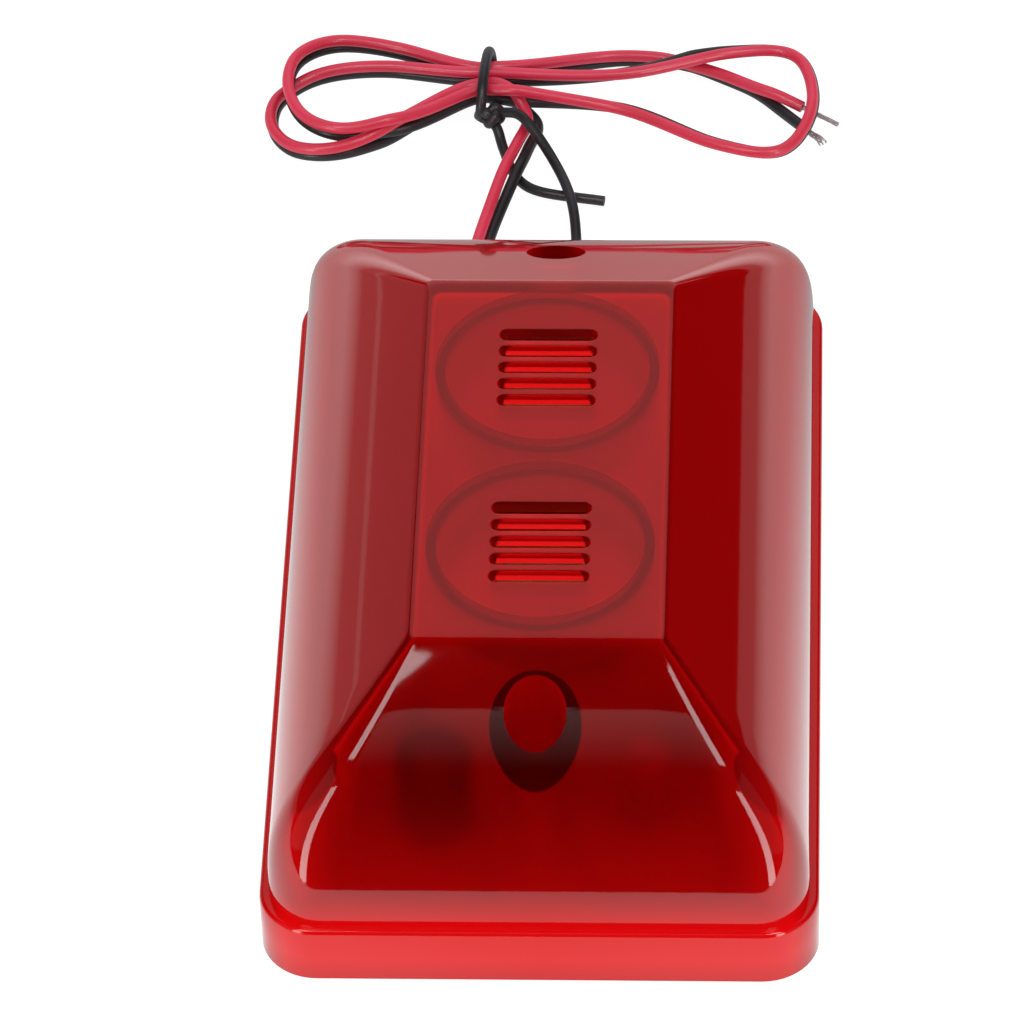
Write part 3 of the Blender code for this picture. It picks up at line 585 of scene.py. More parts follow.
def cable_paths():
    """Settled centre lines of the red wire, the black wire and the tie."""
    red, black = [], []
    for point, offset in cable_course():
        aside = mm(*offset)
        red.append(point)
        black.append(point + aside.normalized() * max(aside.length, WIRE_PITCH))
    wires = even_steps([spline(red, 8), spline(black, 8)])
    tie = even_steps([spline(tie_course(), 8)])
    paths = settle(wires + tie, (WIRE_RADIUS, WIRE_RADIUS, TIE_RADIUS))
    return [[Vector(point) for point in path] for path in paths]


# ---------------------------------------------------------------- parts inside

def cross_loop(arm, half_width, z, centre):
    """Outline of a plus sign."""
    corners = ((arm, half_width), (half_width, half_width), (half_width, arm))
    loop = []
    for quarter in range(4):
        c, s = round(cos(pi / 2 * quarter)), round(sin(pi / 2 * quarter))
        for x, y in corners:
            loop.append((centre[0] + c * x - s * y, centre[1] + s * x + c * y, z))
    return loop


def fine_screw(node, body, look, shank, head_height, pitch, head_up):
    """A pan-head self-tapping screw with a cross recess and a cut thread."""
    low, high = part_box(node)
    centre = middle(node)
    head = high.x - centre[0]
    length = high.z - low.z
    core = 0.74 * shank
    sides = 32

    def at(z):
        return high.z - z if head_up else low.z + z

    loops = []
    dome = ((0.5, 0.0), (0.72, 0.03), (0.87, 0.13), (0.97, 0.32), (1.0, 0.5), (1.0, 0.92), (0.96, 1.0))
    for share, height in dome:
        loops.append(circle(share * head, at(height * head_height), centre, sides))
    loops.append(circle(core, at(head_height), centre, sides))
    steps = int((length - head_height) / pitch * 10)
    for i in range(1, steps + 1):
        z = head_height + (length - head_height) * i / steps
        taper = min(1.0, 0.08 + (length - z) / (2.2 * shank))
        loop = []
        for k in range(sides):
            angle = 2 * pi * k / sides
            phase = (z / pitch - k / sides) % 1.0
            ridge = max(0.0, 1 - abs(phase - 0.5) / 0.3) * min(1.0, (z - head_height) / pitch)
            radius = (core + (shank - core) * ridge) * taper
            loop.append(polar(*centre, radius, angle, at(z)))
        loops.append(loop)
    screw = piece(node + "_threaded", add_loft(None, loops), look, body, node, 50)
    bm = bmesh.new()
    add_loft(bm, [cross_loop(0.62 * head, 0.17 * head, at(-0.2 * head_height), centre),
                  cross_loop(0.3 * head, 0.12 * head, at(0.7 * head_height), centre)])
    combine(screw, bm)


def fine_screws(look):
    for i in range(1, 5):
        fine_screw(f"case_screw_{i}", f"case_screw_{i}_body", look, 1.1 * MM, 1.1 * MM, 1.1 * MM, False)
    for i in range(1, 3):
        fine_screw(f"board_screw_{i}", "base", look, 1.0 * MM, 0.9 * MM, 0.8 * MM, True)


def fine_sounders(looks):
    """Brass discs, ceramics and beads of glue."""
    for prefix in ("front", "rear"):
        spot = centre_of(prefix + "_piezo_disc").to_2d()
        for part, edge, look, slot in (("_piezo_disc", 0.1 * MM, "disc_brass", "disc_brass"),
                                       ("_piezo_ceramic", 0.05 * MM, "ceramic", "piezo_ceramic")):
            low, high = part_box(prefix + part)
            bm = bmesh.new()
            add_turned(bm, softened(high.x - spot.x, low.z, high.z, edge), spot, 96)
            piece(prefix + part + "_round", bm, looks[look], "cover", prefix + part)
        low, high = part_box(prefix + "_glue_ring")
        outer = high.x - spot.x
        loops = []
        for i in range(120):
            turn = 2 * pi * i / 120
            waves = ((0.06, 5, 0.0), (0.05, 11, 1.0), (0.04, 17, 0.0))
            swell = sum(size * sin(count * turn + start) for size, count, start in waves)
            loop = []
            for k in range(12):
                angle = pi * k / 11
                across = GLUE_WIDTH * (0.5 + 0.5 * cos(angle)) * (1 + swell)
                down = (high.z - low.z) * sin(angle) ** 0.7 * (0.95 + swell)
                radius = min(outer, outer - GLUE_WIDTH * (1 + swell) + across)
                loop.append(polar(*spot, radius, turn, high.z - down))
            loops.append(loop)
        bm = bmesh.new()
        add_loft(bm, loops, closed=True)
        piece(prefix + "_glue_bead", bm, looks["glue"], "cover", prefix + "_glue_ring", 60)


def piezo_leads(looks):
    """Thin leads from the board to the sounders."""
    foot_z = board_high.z + GAP
    for prefix, board_y in LEAD_FOOT_Y.items():
        y = centre_of(prefix + "_piezo_disc").y
        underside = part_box(prefix + "_piezo_ceramic")[0].z - GAP
        for pole, slot, side, top_y in (("live", "red_pvc", -1, y),
                                        ("ground", "black_pvc", 1, y + 3 * MM)):
            foot = Vector((side * LEAD_FOOT_X, board_y, foot_z))
            x = side * 2 * LEAD_FOOT_X
            path = [foot, foot + mm(0.0, 0.0, 6.0), Vector((x * 2.5, (board_y + top_y) / 2, 22.0 * MM)),
                    Vector((x, top_y, LEAD_TOP)), Vector((x, top_y, underside))]
            bm = bmesh.new()
            add_sweep(bm, spline(path, 14), LEAD_RADIUS, 14, 0.12)
            node = f"{prefix}_{pole}_lead"
            lead = piece(node + "_smooth", bm, looks[slot], None, node)
            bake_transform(lead)
            bm = bmesh.new()
            flattened = Matrix.Diagonal((1.0, 1.0, 0.5, 1.0))
            matrix = Matrix.Translation((x, top_y, underside + GAP)) @ flattened
            bmesh.ops.create_uvsphere(bm, u_segments=20, v_segments=12, radius=1.1 * MM, matrix=matrix)
            piece(f"{prefix}_{pole}_solder", bm, looks["tinned"], "cover")


def coil(looks):
    """Ferrite drum, copper turns and a shrunk sleeve."""
    spot = centre_of("coil_core").to_2d()
    low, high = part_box("coil_core")
    flange = high.x - spot.x
    web = 1.4 * MM
    core = 1.9 * MM
    bm = bmesh.new()
    profile = softened(flange, low.z, low.z + web, 0.15 * MM)
    profile += [(core, low.z + web), (core, high.z - web)]
    add_turned(bm, profile + softened(flange, high.z - web, high.z, 0.15 * MM), spot)
    piece("coil_drum", bm, looks["ferrite"], "base", "coil_core")

    low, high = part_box("coil_winding")
    outer = high.x - spot.x
    steps = 108
    profile = [(core + GAP, low.z)]
    for i in range(steps + 1):
        bulge = abs(sin(pi * i / 6))
        profile.append((outer - 0.15 * MM * (1 - bulge), low.z + (high.z - low.z) * i / steps))
    bm = bmesh.new()
    add_turned(bm, profile + [(core + GAP, high.z)], spot)
    piece("coil_turns", bm, looks["copper"], "base", "coil_winding", 80)

    low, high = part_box("coil_sleeve")
    lip = 0.2 * MM
    outer, inner = high.x - spot.x - lip, flange + GAP + lip
    profile = []
    for radius, z, turn in ((outer, low.z + lip, -90), (outer, high.z - lip, 0),
                            (inner, high.z - lip, 90), (inner, low.z + lip, 180)):
        for i in range(4):
            angle = radians(turn + 30 * i)
            profile.append((radius + lip * cos(angle), z + lip * sin(angle)))
    bm = bmesh.new()
    add_turned(bm, profile, spot, 64, closed=True)
    piece("coil_shrink_sleeve", bm, looks["black_resin"], "base", "coil_sleeve")


def lamps(look):
    """Five-millimetre lamps with a flange, a flat on one side and a round tip."""
    for i in range(1, 5):
        node = f"strobe_led_{i}"
        low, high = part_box(node)
        spot = middle(node)
        barrel = high.z - LAMP_RADIUS
        profile = softened(high.x - spot[0], low.z, low.z + MM, 0.12 * MM)
        profile += [(LAMP_RADIUS, low.z + MM), (LAMP_RADIUS, barrel)]
        for k in range(1, 12):
            angle = pi / 2 * k / 12
            profile.append((LAMP_RADIUS * cos(angle), barrel + LAMP_RADIUS * sin(angle)))
        bm = bmesh.new()
        add_turned(bm, profile, spot)
        for vertex in bm.verts:
            vertex.co.x = max(vertex.co.x, spot[0] - LAMP_RADIUS)
        piece(node + "_lens", bm, look, "base", node)


def capacitor(looks):
    """An aluminium can in a sleeve, with a crimped neck and a scored top."""
    low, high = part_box("smoothing_capacitor")
    spot = centre_of("smoothing_capacitor").to_2d()
    radius = high.x - spot.x
    crimp = ((0.0, 0.35), (0.2, 0.1), (0.5, 0.0), (1.2, 0.0), (1.5, 0.15), (1.8, 0.35), (2.1, 0.35),
             (2.4, 0.15), (2.7, 0.0))
    profile = [(radius - inset * MM, low.z + z * MM) for z, inset in crimp]
    profile += softened(radius, high.z - MM, high.z, 0.35 * MM)[4:]
    profile += [(radius - 0.9 * MM, high.z), (radius - MM, high.z - 0.15 * MM)]
    bm = bmesh.new()
    add_turned(bm, profile, spot, 56)
    piece("capacitor_sleeve", bm, looks["can_sleeve"], "base", "smoothing_capacitor")
    top = high.z - 0.1 * MM
    bm = bmesh.new()
    add_turned(bm, softened(radius - MM, top - 0.4 * MM, top, 0.05 * MM), spot)
    can = piece("capacitor_top", bm, looks["zinc"], "base")
    bm = bmesh.new()
    add_loft(bm, [cross_loop(radius * 0.6, 0.1 * MM, z, spot) for z in (top - 0.1 * MM, top + MM)])
    combine(can, bm)


def chip(looks):
    """An eight-pin package with a notch, and its pins."""
    low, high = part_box("driver_chip")
    centre = (low + high) / 2
    half = (high - low) / 2
    loops = []
    for share, inset in ((0.0, 0.25), (0.03, 0.2), (0.5, 0.0), (0.95, 0.22), (1.0, 0.3)):
        z = low.z + (high.z - low.z) * share
        loops.append(small_loop(centre, half.x - inset * MM, half.y - inset * MM, z))
    bm = bmesh.new()
    add_loft(bm, loops)
    package = piece("chip_package", bm, looks["black_resin"], "base", "driver_chip")
    bm = bmesh.new()
    notch = 0.7 * MM
    add_turned(bm, ((notch, high.z - 0.4 * MM), (notch, high.z + MM)), (centre.x, high.y - 0.2 * MM), 32)
    combine(package, bm)
    shoulder = low.z + 1.6 * MM
    pin = ((2.8 * MM, shoulder), (3.55 * MM, shoulder), (3.8 * MM, shoulder - 0.25 * MM),
           (CHIP_ROW, LEG_BOTTOM))
    bm = bmesh.new()
    for side in (-1, 1):
        for i in range(4):
            y = centre.y + (i - 1.5) * PIN_PITCH
            add_strip(bm, [Vector((centre.x + side * x, y, z)) for x, z in pin], 0.45 * MM, 0.13 * MM)
    piece("chip_pins", bm, looks["tinned"], "base")


def small_loop(centre, half_x, half_y, z, corner=0.25 * MM):
    """A small rounded rectangle about a centre."""
    loop = []
    for quarter in range(4):
        x = centre.x + (1 if quarter in (0, 3) else -1) * (half_x - corner)
        y = centre.y + (1 if quarter in (0, 1) else -1) * (half_y - corner)
        for i in range(4):
            angle = pi / 2 * (quarter + i / 3)
            loop.append(polar(x, y, corner, angle, z))
    return loop


def add_strip(bm, path, half_width, half_thickness):
    """A flat bent strip whose width lies along Y."""
    loops = []
    wide = Vector((0, half_width, 0))
    for i, point in enumerate(path):
        before, after = ends(path, i)
        normal = (after - before).normalized().cross(Vector((0, 1, 0))).normalized() * half_thickness
        loops.append([point + normal + wide, point - normal + wide, point - normal - wide,
                      point + normal - wide])
    add_loft(bm, loops)


def transistors(look):
    """Half-round packages with a flat towards -Y."""
    flat = radians(50)
    for node in ("transistor_1", "transistor_2"):
        low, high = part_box(node)
        x, y = middle(node)[0], high.y - TRANSISTOR_RADIUS
        loops = []
        for share, inset in ((0.0, 0.2), (0.04, 0.06), (0.1, 0.0), (0.9, 0.0), (0.96, 0.06), (1.0, 0.2)):
            radius = TRANSISTOR_RADIUS - inset * MM
            z = low.z + (high.z - low.z) * share
            loop = []
            for k in range(33):
                angle = -pi / 2 + flat + (2 * pi - 2 * flat) * k / 32
                loop.append(polar(x, y, radius, angle, z))
            loops.append(loop)
        piece(node + "_package", add_loft(None, loops), look, "base", node)


def lying_parts(looks):
    """Resistors with a waist and bands, and a diode with one band."""
    for node in LYING_PARTS:
        low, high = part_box(node)
        half = (high.x - low.x) / 2
        radius = (high.z - low.z) / 2
        waist, look, slot = 0.2 * MM, "resistor_paint", "resistor_paint"
        if node == "diode":
            waist, look, slot = 0.0, "diode_resin", "black_resin"
        profile = []
        for i in range(41):
            t = -1 + 2 * i / 40
            end = min(1.0, (1 - abs(t)) / 0.12)
            cap = sqrt(max(0.0, 1 - (1 - end) ** 2))
            slim = 0.5 + 0.5 * cos(pi * min(1.0, abs(t) / 0.6))
            profile.append((max(0.1 * MM, (radius - waist * slim) * (0.35 + 0.65 * cap)), t * half))
        bm = bmesh.new()
        add_turned(bm, profile, segments=32)
        bm.transform(Matrix.Translation((low + high) / 2) @ Matrix.Rotation(pi / 2, 4, "Y"))
        piece(node + "_body", bm, looks[look], "base", node, 60)


def legs_and_solder(look):
    """Wire legs of the parts, through the board, and the solder joints below it."""
    spots = []
    for node, half_gap in ([(f"strobe_led_{i}", PIN_PITCH / 2) for i in range(1, 5)]
                           + [("smoothing_capacitor", 1.25 * MM), ("coil_core", 2.5 * MM)]):
        spot = centre_of(node)
        spots += [(spot.x + side * half_gap, spot.y) for side in (-1, 1)]
    for node in ("transistor_1", "transistor_2"):
        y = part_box(node)[1].y - TRANSISTOR_RADIUS
        spots += [(centre_of(node).x + side * PIN_PITCH / 2, y) for side in (-1, 0, 1)]
    bm = bmesh.new()
    for x, y in spots:
        heights = (board_high.z + 1.2 * MM, board_high.z, LEG_BOTTOM)
        add_sweep(bm, [Vector((x, y, z)) for z in heights], LEG_RADIUS, 10)
    for node in LYING_PARTS:
        low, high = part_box(node)
        centre = (low + high) / 2
        for side in (-1, 1):
            edge = centre.x + side * (high.x - low.x) / 2
            bend = ((-MM, centre.z), (0.8 * MM, centre.z), (1.3 * MM, centre.z - 0.5 * MM),
                    (LEG_BEND, board_high.z), (LEG_BEND, LEG_BOTTOM))
            path = [Vector((edge + side * out, centre.y, z)) for out, z in bend]
            add_sweep(bm, spline(path, 5), LEG_RADIUS, 10)
            spots.append((edge + side * LEG_BEND, centre.y))
    piece("part_legs", bm, look, "base")
    centre = centre_of("driver_chip")
    for side in (-1, 1):
        spots += [(centre.x + side * CHIP_ROW, centre.y + (i - 1.5) * PIN_PITCH) for i in range(4)]
    for y in LEAD_FOOT_Y.values():
        spots += [(side * LEAD_FOOT_X, y) for side in (-1, 1)]
    spots += [(x, CABLE_FOOT - CABLE_TAIL) for x in (WIRE_X, WIRE_X + WIRE_PITCH)]
    cone = [(0.95, 0.03), (0.9, -0.06), (0.7, -0.22), (0.48, -0.45), (0.34, -0.68), (0.2, -0.8)]
    bm = bmesh.new()
    for spot in spots:
        add_turned(bm, [(r * MM, board_low.z + z * MM) for r, z in cone], spot, 24)
    piece("solder_joints", bm, look, "base")


def back_plate(look):
    """The back plate with rounded edges, board posts, wall-screw seats, holes and a cable notch."""
    below, inside, above = -MM, PLATE_THICKNESS / 2, PLATE_THICKNESS + MM
    loops = []
    for out, z in softened(0.0, 0.0, PLATE_THICKNESS, PLATE_EDGE):
        half_y = PLATE_HALF_LENGTH + out
        loops.append(rounded_loop(PLATE_HALF_WIDTH + out, half_y, half_y, PLATE_CORNER + out, z))
    plate = to_object("back_plate", add_loft(None, loops), look)
    bm = bmesh.new()
    post = ((3.3 * MM, inside), (3.3 * MM, PLATE_THICKNESS), (2.9 * MM, PLATE_THICKNESS + 0.5 * MM),
            (2.8 * MM, board_low.z - 0.5 * MM), (2.6 * MM, board_low.z - GAP))
    for spot in BOARD_SCREWS:
        add_turned(bm, post, spot, 40)
    seat_edge = 0.15 * MM
    for y in WELL_Y:
        add_turned(bm, ((SEAT_RADIUS, inside), (SEAT_RADIUS, SEAT_TOP - seat_edge),
                        (SEAT_RADIUS - seat_edge, SEAT_TOP)), (0, y))
    combine(plate, bm, "UNION")
    bm = bmesh.new()
    for y in WELL_Y:
        add_turned(bm, ((MOUNT_HOLE + CHAMFER, below), (MOUNT_HOLE + CHAMFER, 0.0),
                        (MOUNT_HOLE, CHAMFER), (MOUNT_HOLE, SEAT_TOP + MM)), (0, y), 40)
    for spot in CASE_SCREWS:
        add_turned(bm, ((CASE_SEAT + CHAMFER, below), (CASE_SEAT + CHAMFER, 0.0), (CASE_SEAT, CHAMFER),
                        (CASE_SEAT, CASE_SEAT_DEPTH), (CASE_HOLE, CASE_SEAT_DEPTH), (CASE_HOLE, above)),
                   spot, 36)
    for spot in BOARD_SCREWS:
        add_turned(bm, ((BOARD_HOLE, inside), (BOARD_HOLE, board_low.z + MM)), spot, 24)
    add_box(bm, (CABLE_X - NOTCH_HALF_WIDTH, PLATE_HALF_LENGTH - 12 * MM, below),
            (CABLE_X + NOTCH_HALF_WIDTH, PLATE_HALF_LENGTH + MM, above))
    combine(plate, bm)
    place(plate, "base", "base_plate")


def board(look):
    """The board with softened corners, notched round the front well."""
    edge = 0.08 * MM
    loops = []
    for z, inset in ((board_low.z, edge), (board_low.z + edge, 0.0), (board_high.z - edge, 0.0),
                     (board_high.z, edge)):
        loops.append(rounded_loop(board_high.x - inset, -board_low.y - inset, board_high.y - inset,
                                  0.6 * MM, z))
    sheet = to_object("board_sheet", add_loft(None, loops), look)
    bm = bmesh.new()
    well = WELL_OUTER + 2 * GAP
    for radius, spot, segments in ((well, (0, WELL_Y[0]), 64), (BOARD_HOLE, BOARD_SCREWS[0], 32),
                                   (BOARD_HOLE, BOARD_SCREWS[1], 32)):
        add_turned(bm, ((radius, board_low.z - MM), (radius, board_high.z + MM)), spot, segments)
    combine(sheet, bm)
    place(sheet, "base", "circuit_board")


def bare_end(node, path, length, splay, look):
    """Thin tinned strands that leave the insulation twisted and spread a little."""
    along = (path[-1] - path[-4]).normalized()
    aside = along.cross(Vector((0, 0, 1))).normalized()
    upward = aside.cross(along)
    bm = bmesh.new()
    for k in range(STRANDS):
        strand = []
        for i in range(25):
            t = i / 24
            angle = 2 * pi * (k / STRANDS + 0.8 * t)
            radius = 0.32 * MM * (1 - 0.35 * t) + splay * t * t * (0.5 + 0.5 * (k % 2))
            strand.append(path[-1] + along * (length * t - 0.6 * MM * (1 - t))
                          + radius * (cos(angle) * aside + 0.6 * sin(angle) * upward))
        add_sweep(bm, strand, STRAND_RADIUS, 8, 0.1)
    piece(node + "_strands", bm, look, "base", node)


def knot(look):
    """An overhand knot: a trefoil of the tie's cord."""
    path = []
    for i in range(121):
        t = 2 * pi * i / 120 + 0.4
        turn = Vector((sin(t) + 2 * sin(2 * t), cos(t) - 2 * cos(2 * t), -1.5 * sin(3 * t)))
        path.append(KNOT + turn * KNOT_SCALE)
    piece("tie_knot", add_sweep(None, path, TIE_RADIUS, 18), look, "base", sharp=60)


def cable(looks):
    """The two wires with their bare ends, and the tie with its knot."""
    red_path, black_path, tie_path = cable_paths()
    for path, side in ((red_path, "red"), (black_path, "black")):
        start = Vector((path[0].x, CABLE_FOOT, path[0].z))
        bends = ((-0.6, 0), (0.6, 0), (1.8, 0.4), (2.5, 1.4), (2.5, 3.8))
        tail = [start - mm(0, back, down) for back, down in bends]
        bm = bmesh.new()
        add_sweep(bm, spline(tail, 5), 0.4 * MM, 12)
        piece(side + "_wire_foot", bm, looks["tinned"], "base")
        path[:1] = [start, (start + path[0]) / 2, path[0]]
    for node, path, size, slot in (("red_wire", red_path, WIRE_RADIUS, "red_pvc"),
                                   ("black_wire", black_path, WIRE_RADIUS, "black_pvc"),
                                   ("hank_tie", tie_path, TIE_RADIUS, "black_pvc")):
        bm = bmesh.new()
        add_sweep(bm, spline(path, 2), size, 24, 0.12)
        piece(node + "_smooth", bm, looks[slot], "base", node)
    bare_end("red_wire_end", red_path, 5.9 * MM, 0.1 * MM, looks["tinned"])
    bare_end("black_wire_end", black_path, 5.2 * MM, 0.5 * MM, looks["tinned"])
    knot(looks["black_pvc"])


# ---------------------------------------------------------------- materials

def new_look(name):
    """An empty node material and its tree."""
    look = bpy.data.materials.new(name)
    look.use_nodes = True
    tree = look.node_tree
    tree.nodes.clear()
    return look, tree


def add_node(tree, kind, values=None, **settings):
    """A shader node with its settings and its unlinked inputs; a value that is a socket is linked."""
    node = tree.nodes.new("ShaderNode" + kind)
    for key, value in settings.items():
        setattr(node, key, value)
    for key, value in (values or {}).items():
        socket = node.inputs[key]
        if isinstance(value, bpy.types.NodeSocket):
            tree.links.new(value, socket)
        else:
            socket.default_value = value
    return node


def made(tree, kind, values=None, **settings):
    """The first output of a new shader node."""
    return add_node(tree, kind, values, **settings).outputs[0]


def rgb(r, g, b):
    return (r, g, b, 1.0)


def grey(level):
    return (level, level, level, 1.0)


def maths(tree, operation, *values):
    return made(tree, "Math", dict(enumerate(values)), operation=operation)


def distance_to(tree, vector, point):
    node = add_node(tree, "VectorMath", {0: vector, 1: point}, operation="DISTANCE")
    return node.outputs["Value"]


def coordinate(tree, vector, axis):
    return add_node(tree, "SeparateXYZ", {"Vector": vector}).outputs[axis]


def object_place(tree):
    return add_node(tree, "TexCoord").outputs["Object"]


def noise(tree, scale, detail=3.0, roughness=0.5):
    return made(tree, "TexNoise", {"Vector": object_place(tree), "Scale": scale, "Detail": detail,
                                   "Roughness": roughness})


def ramp(tree, factor, low, high, start, end):
    """Map a factor between two limits to a colour or grey between two others."""
    node = add_node(tree, "ValToRGB", {"Fac": factor})
    node.color_ramp.elements[0].position = start
    node.color_ramp.elements[0].color = low
    node.color_ramp.elements[1].position = end
    node.color_ramp.elements[1].color = high
    return node.outputs["Color"]


def spread(tree, factor, low, high, start=0.0, end=1.0):
    """Map a factor between two limits to a range of plain values."""
    return made(tree, "MapRange", {"Value": factor, "From Min": start, "From Max": end,
                                   "To Min": low, "To Max": high})


def bump(tree, height, distance):
    return made(tree, "Bump", {"Height": height, "Distance": distance, "Strength": 1.0})


def fine_surface(tree, colour, fine, roughness, depth, **more):
    """A principled shader whose roughness and bump follow a fine noise."""
    values = {"Base Color": colour, "Roughness": spread(tree, fine, roughness * 0.85, roughness * 1.2),
              "Normal": bump(tree, fine, depth * MM)}
    values.update({key.replace("_", " "): value for key, value in more.items()})
    return made(tree, "BsdfPrincipled", values)


def close_with(tree, shader, volume=None):
    out = add_node(tree, "OutputMaterial")
    tree.links.new(shader, out.inputs["Surface"])
    if volume:
        tree.links.new(volume, out.inputs["Volume"])


def mixed(tree, factor, first, second):
    return made(tree, "MixShader", {0: factor, 1: first, 2: second})


def moulded(name, dark, light, roughness, grain, depth, metallic=0.0, coat=0.0):
    """A solid material with a mottled colour, uneven roughness and a fine bump, in millimetres."""
    look, tree = new_look(name)
    colour = ramp(tree, noise(tree, grain * 0.15), rgb(*dark), rgb(*light), 0.35, 0.65)
    fine = noise(tree, grain, 6.0, 0.6)
    close_with(tree, fine_surface(tree, colour, fine, roughness, depth, Metallic=metallic,
                                  Coat_Weight=coat, Coat_Roughness=0.08))
    return look


def banded(name, node, base, bands, roughness):
    """Paint with bands across X, between the low and high end of a CAD node."""
    look, tree = new_look(name)
    low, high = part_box(node)
    share = spread(tree, coordinate(tree, object_place(tree), "X"), 0.0, 1.0, low.x, high.x)
    stripes = add_node(tree, "ValToRGB", {"Fac": share})
    stripes.color_ramp.interpolation = "CONSTANT"
    elements = stripes.color_ramp.elements
    elements[0].color = rgb(*base)
    elements[1].color = rgb(*base)
    for start, end, colour in bands:
        elements.new(start).color = rgb(*colour)
        elements.new(end).color = rgb(*base)
    fine = noise(tree, 900.0, 6.0, 0.6)
    colour = stripes.outputs["Color"]
    close_with(tree, fine_surface(tree, colour, fine, roughness, 0.01, Coat_Weight=0.3))
    return look


def in_chamber_wall(tree, point, height):
    """1 where a point lies on the round wall of a sound chamber, seen from above: where painted shade
    darkens the tint.
    """
    flat = made(tree, "VectorMath", {0: point, 1: (1.0, 1.0, 0.0)}, operation="MULTIPLY")
    nearest = maths(tree, "MINIMUM", *[distance_to(tree, flat, (0.0, y, 0.0)) for y in SOUNDER_Y])
    in_ring = maths(tree, "COMPARE", nearest, (CHAMBER_INNER + CHAMBER_OUTER) / 2, 0.65 * MM)
    high_up = maths(tree, "GREATER_THAN", height, CHAMBER_BOTTOM - 0.2 * MM)
    return maths(tree, "MULTIPLY", in_ring, high_up)


def scaled(tree, vector, scale):
    return made(tree, "VectorMath", {0: vector, "Scale": scale}, operation="SCALE")


def translucent_red(name):
    """Red see-through plastic with a clear gloss on top. Its wall is milky: the more of it the eye
    looks through, the less shows of the inside, and the solid skirt shows nothing."""
    look, tree = new_look(name)
    orange_peel = bump(tree, noise(tree, 260.0, 2.0), 0.004 * MM)
    point = object_place(tree)
    height = coordinate(tree, point, "Z")
    aside = maths(tree, "ABSOLUTE", coordinate(tree, point, "X"))
    slant = add_node(tree, "LayerWeight", {"Blend": 0.5}).outputs["Facing"]
    # Painted shade: haze and glow grow darker towards the far left and right sides of the cover.
    painted_side_shade = spread(tree, aside, 1.0, 0.55, 33 * MM, HALF_WIDTH)

    tint = ramp(tree, noise(tree, 40.0), rgb(0.95, 0.13, 0.14), rgb(0.98, 0.17, 0.18), 0.3, 0.7)
    # Painted shade: the see-through tint turns dark on the round walls of the sound chambers.
    tint_with_painted_wall_shade = add_node(tree, "Mix", {0: in_chamber_wall(tree, point, height), 6: tint,
                                    7: rgb(0.45, 0.06, 0.07)}, data_type="RGBA").outputs[2]
    through = made(tree, "BsdfRefraction", {"Color": tint_with_painted_wall_shade, "Roughness": 0.42, "IOR": 1.2,
                                            "Normal": orange_peel})

    # Painted shade: the haze darkens where the surface is seen edge-on.
    edge_on_painted_shade = ramp(tree, slant, rgb(0.95, 0.004, 0.006), rgb(0.4, 0.003, 0.004), 0.8, 0.98)
    # Painted shade: the haze also darkens towards the bottom of the skirt, times the painted side shade.
    foot = maths(tree, "MULTIPLY", spread(tree, height, 0.72, 1.0, 0.0, SKIRT_HEIGHT * 0.45), painted_side_shade)
    haze = made(tree, "BsdfDiffuse", {"Color": scaled(tree, edge_on_painted_shade, foot)})
    # The glow carries the same painted side shade.
    glow_colour = scaled(tree, (0.9, 0.01, 0.012), painted_side_shade)
    glow = made(tree, "BsdfTranslucent", {"Color": glow_colour})

    wall = spread(tree, slant, 0.06, 0.72, 0.0, 0.9)
    solid = spread(tree, height, 0.95, 0.0, SKIRT_HEIGHT, 2 * SKIRT_HEIGHT)
    flank = spread(tree, aside, 0.0, 0.6, 21 * MM, 31 * MM)
    milky = maths(tree, "MAXIMUM", maths(tree, "MAXIMUM", wall, solid), flank)
    body = mixed(tree, milky, through, mixed(tree, spread(tree, solid, 0.35, 0.0), haze, glow))

    gloss = made(tree, "BsdfGlossy", {"Color": grey(1), "Roughness": 0.045, "Normal": orange_peel})
    edge = made(tree, "Fresnel", {"IOR": 1.5, "Normal": orange_peel})
    shadow = add_node(tree, "LightPath").outputs["Is Shadow Ray"]
    clear = made(tree, "BsdfTransparent", {"Color": rgb(0.9, 0.2, 0.2)})
    dye = made(tree, "VolumeAbsorption", {"Color": rgb(0.9, 0.4, 0.4), "Density": 800.0})
    close_with(tree, mixed(tree, shadow, mixed(tree, edge, body, gloss), clear), dye)
    return look


# ---------------------------------------------------------------- stage

CAMERA_YAW = radians(2.89)
CAMERA_ELEVATION = radians(45.34)
CAMERA_ROLL = radians(1.744)
CAMERA_PAN = radians(0.280)
CAMERA_TILT = radians(0.413)
CAMERA_DISTANCE = 1.0406
CAMERA_TARGET = Vector((0.0, 0.0, 0.015))
CAMERA_LENS = 271.85
FLOOR_EDGE = -HALF_LENGTH - 15.2 * MM
FLOOR_FADE = 300 * MM
FLOOR_SHADES = ((0.0, 0.5), (0.2, 0.7), (0.38, 0.6), (1.0, 0.15))


def direction(azimuth, elevation):
    """Unit vector from the object; azimuth 0 points at the camera's side, 90 to +X."""
    a, e = radians(azimuth), radians(elevation)
    return Vector((sin(a) * cos(e), -cos(a) * cos(e), sin(e)))


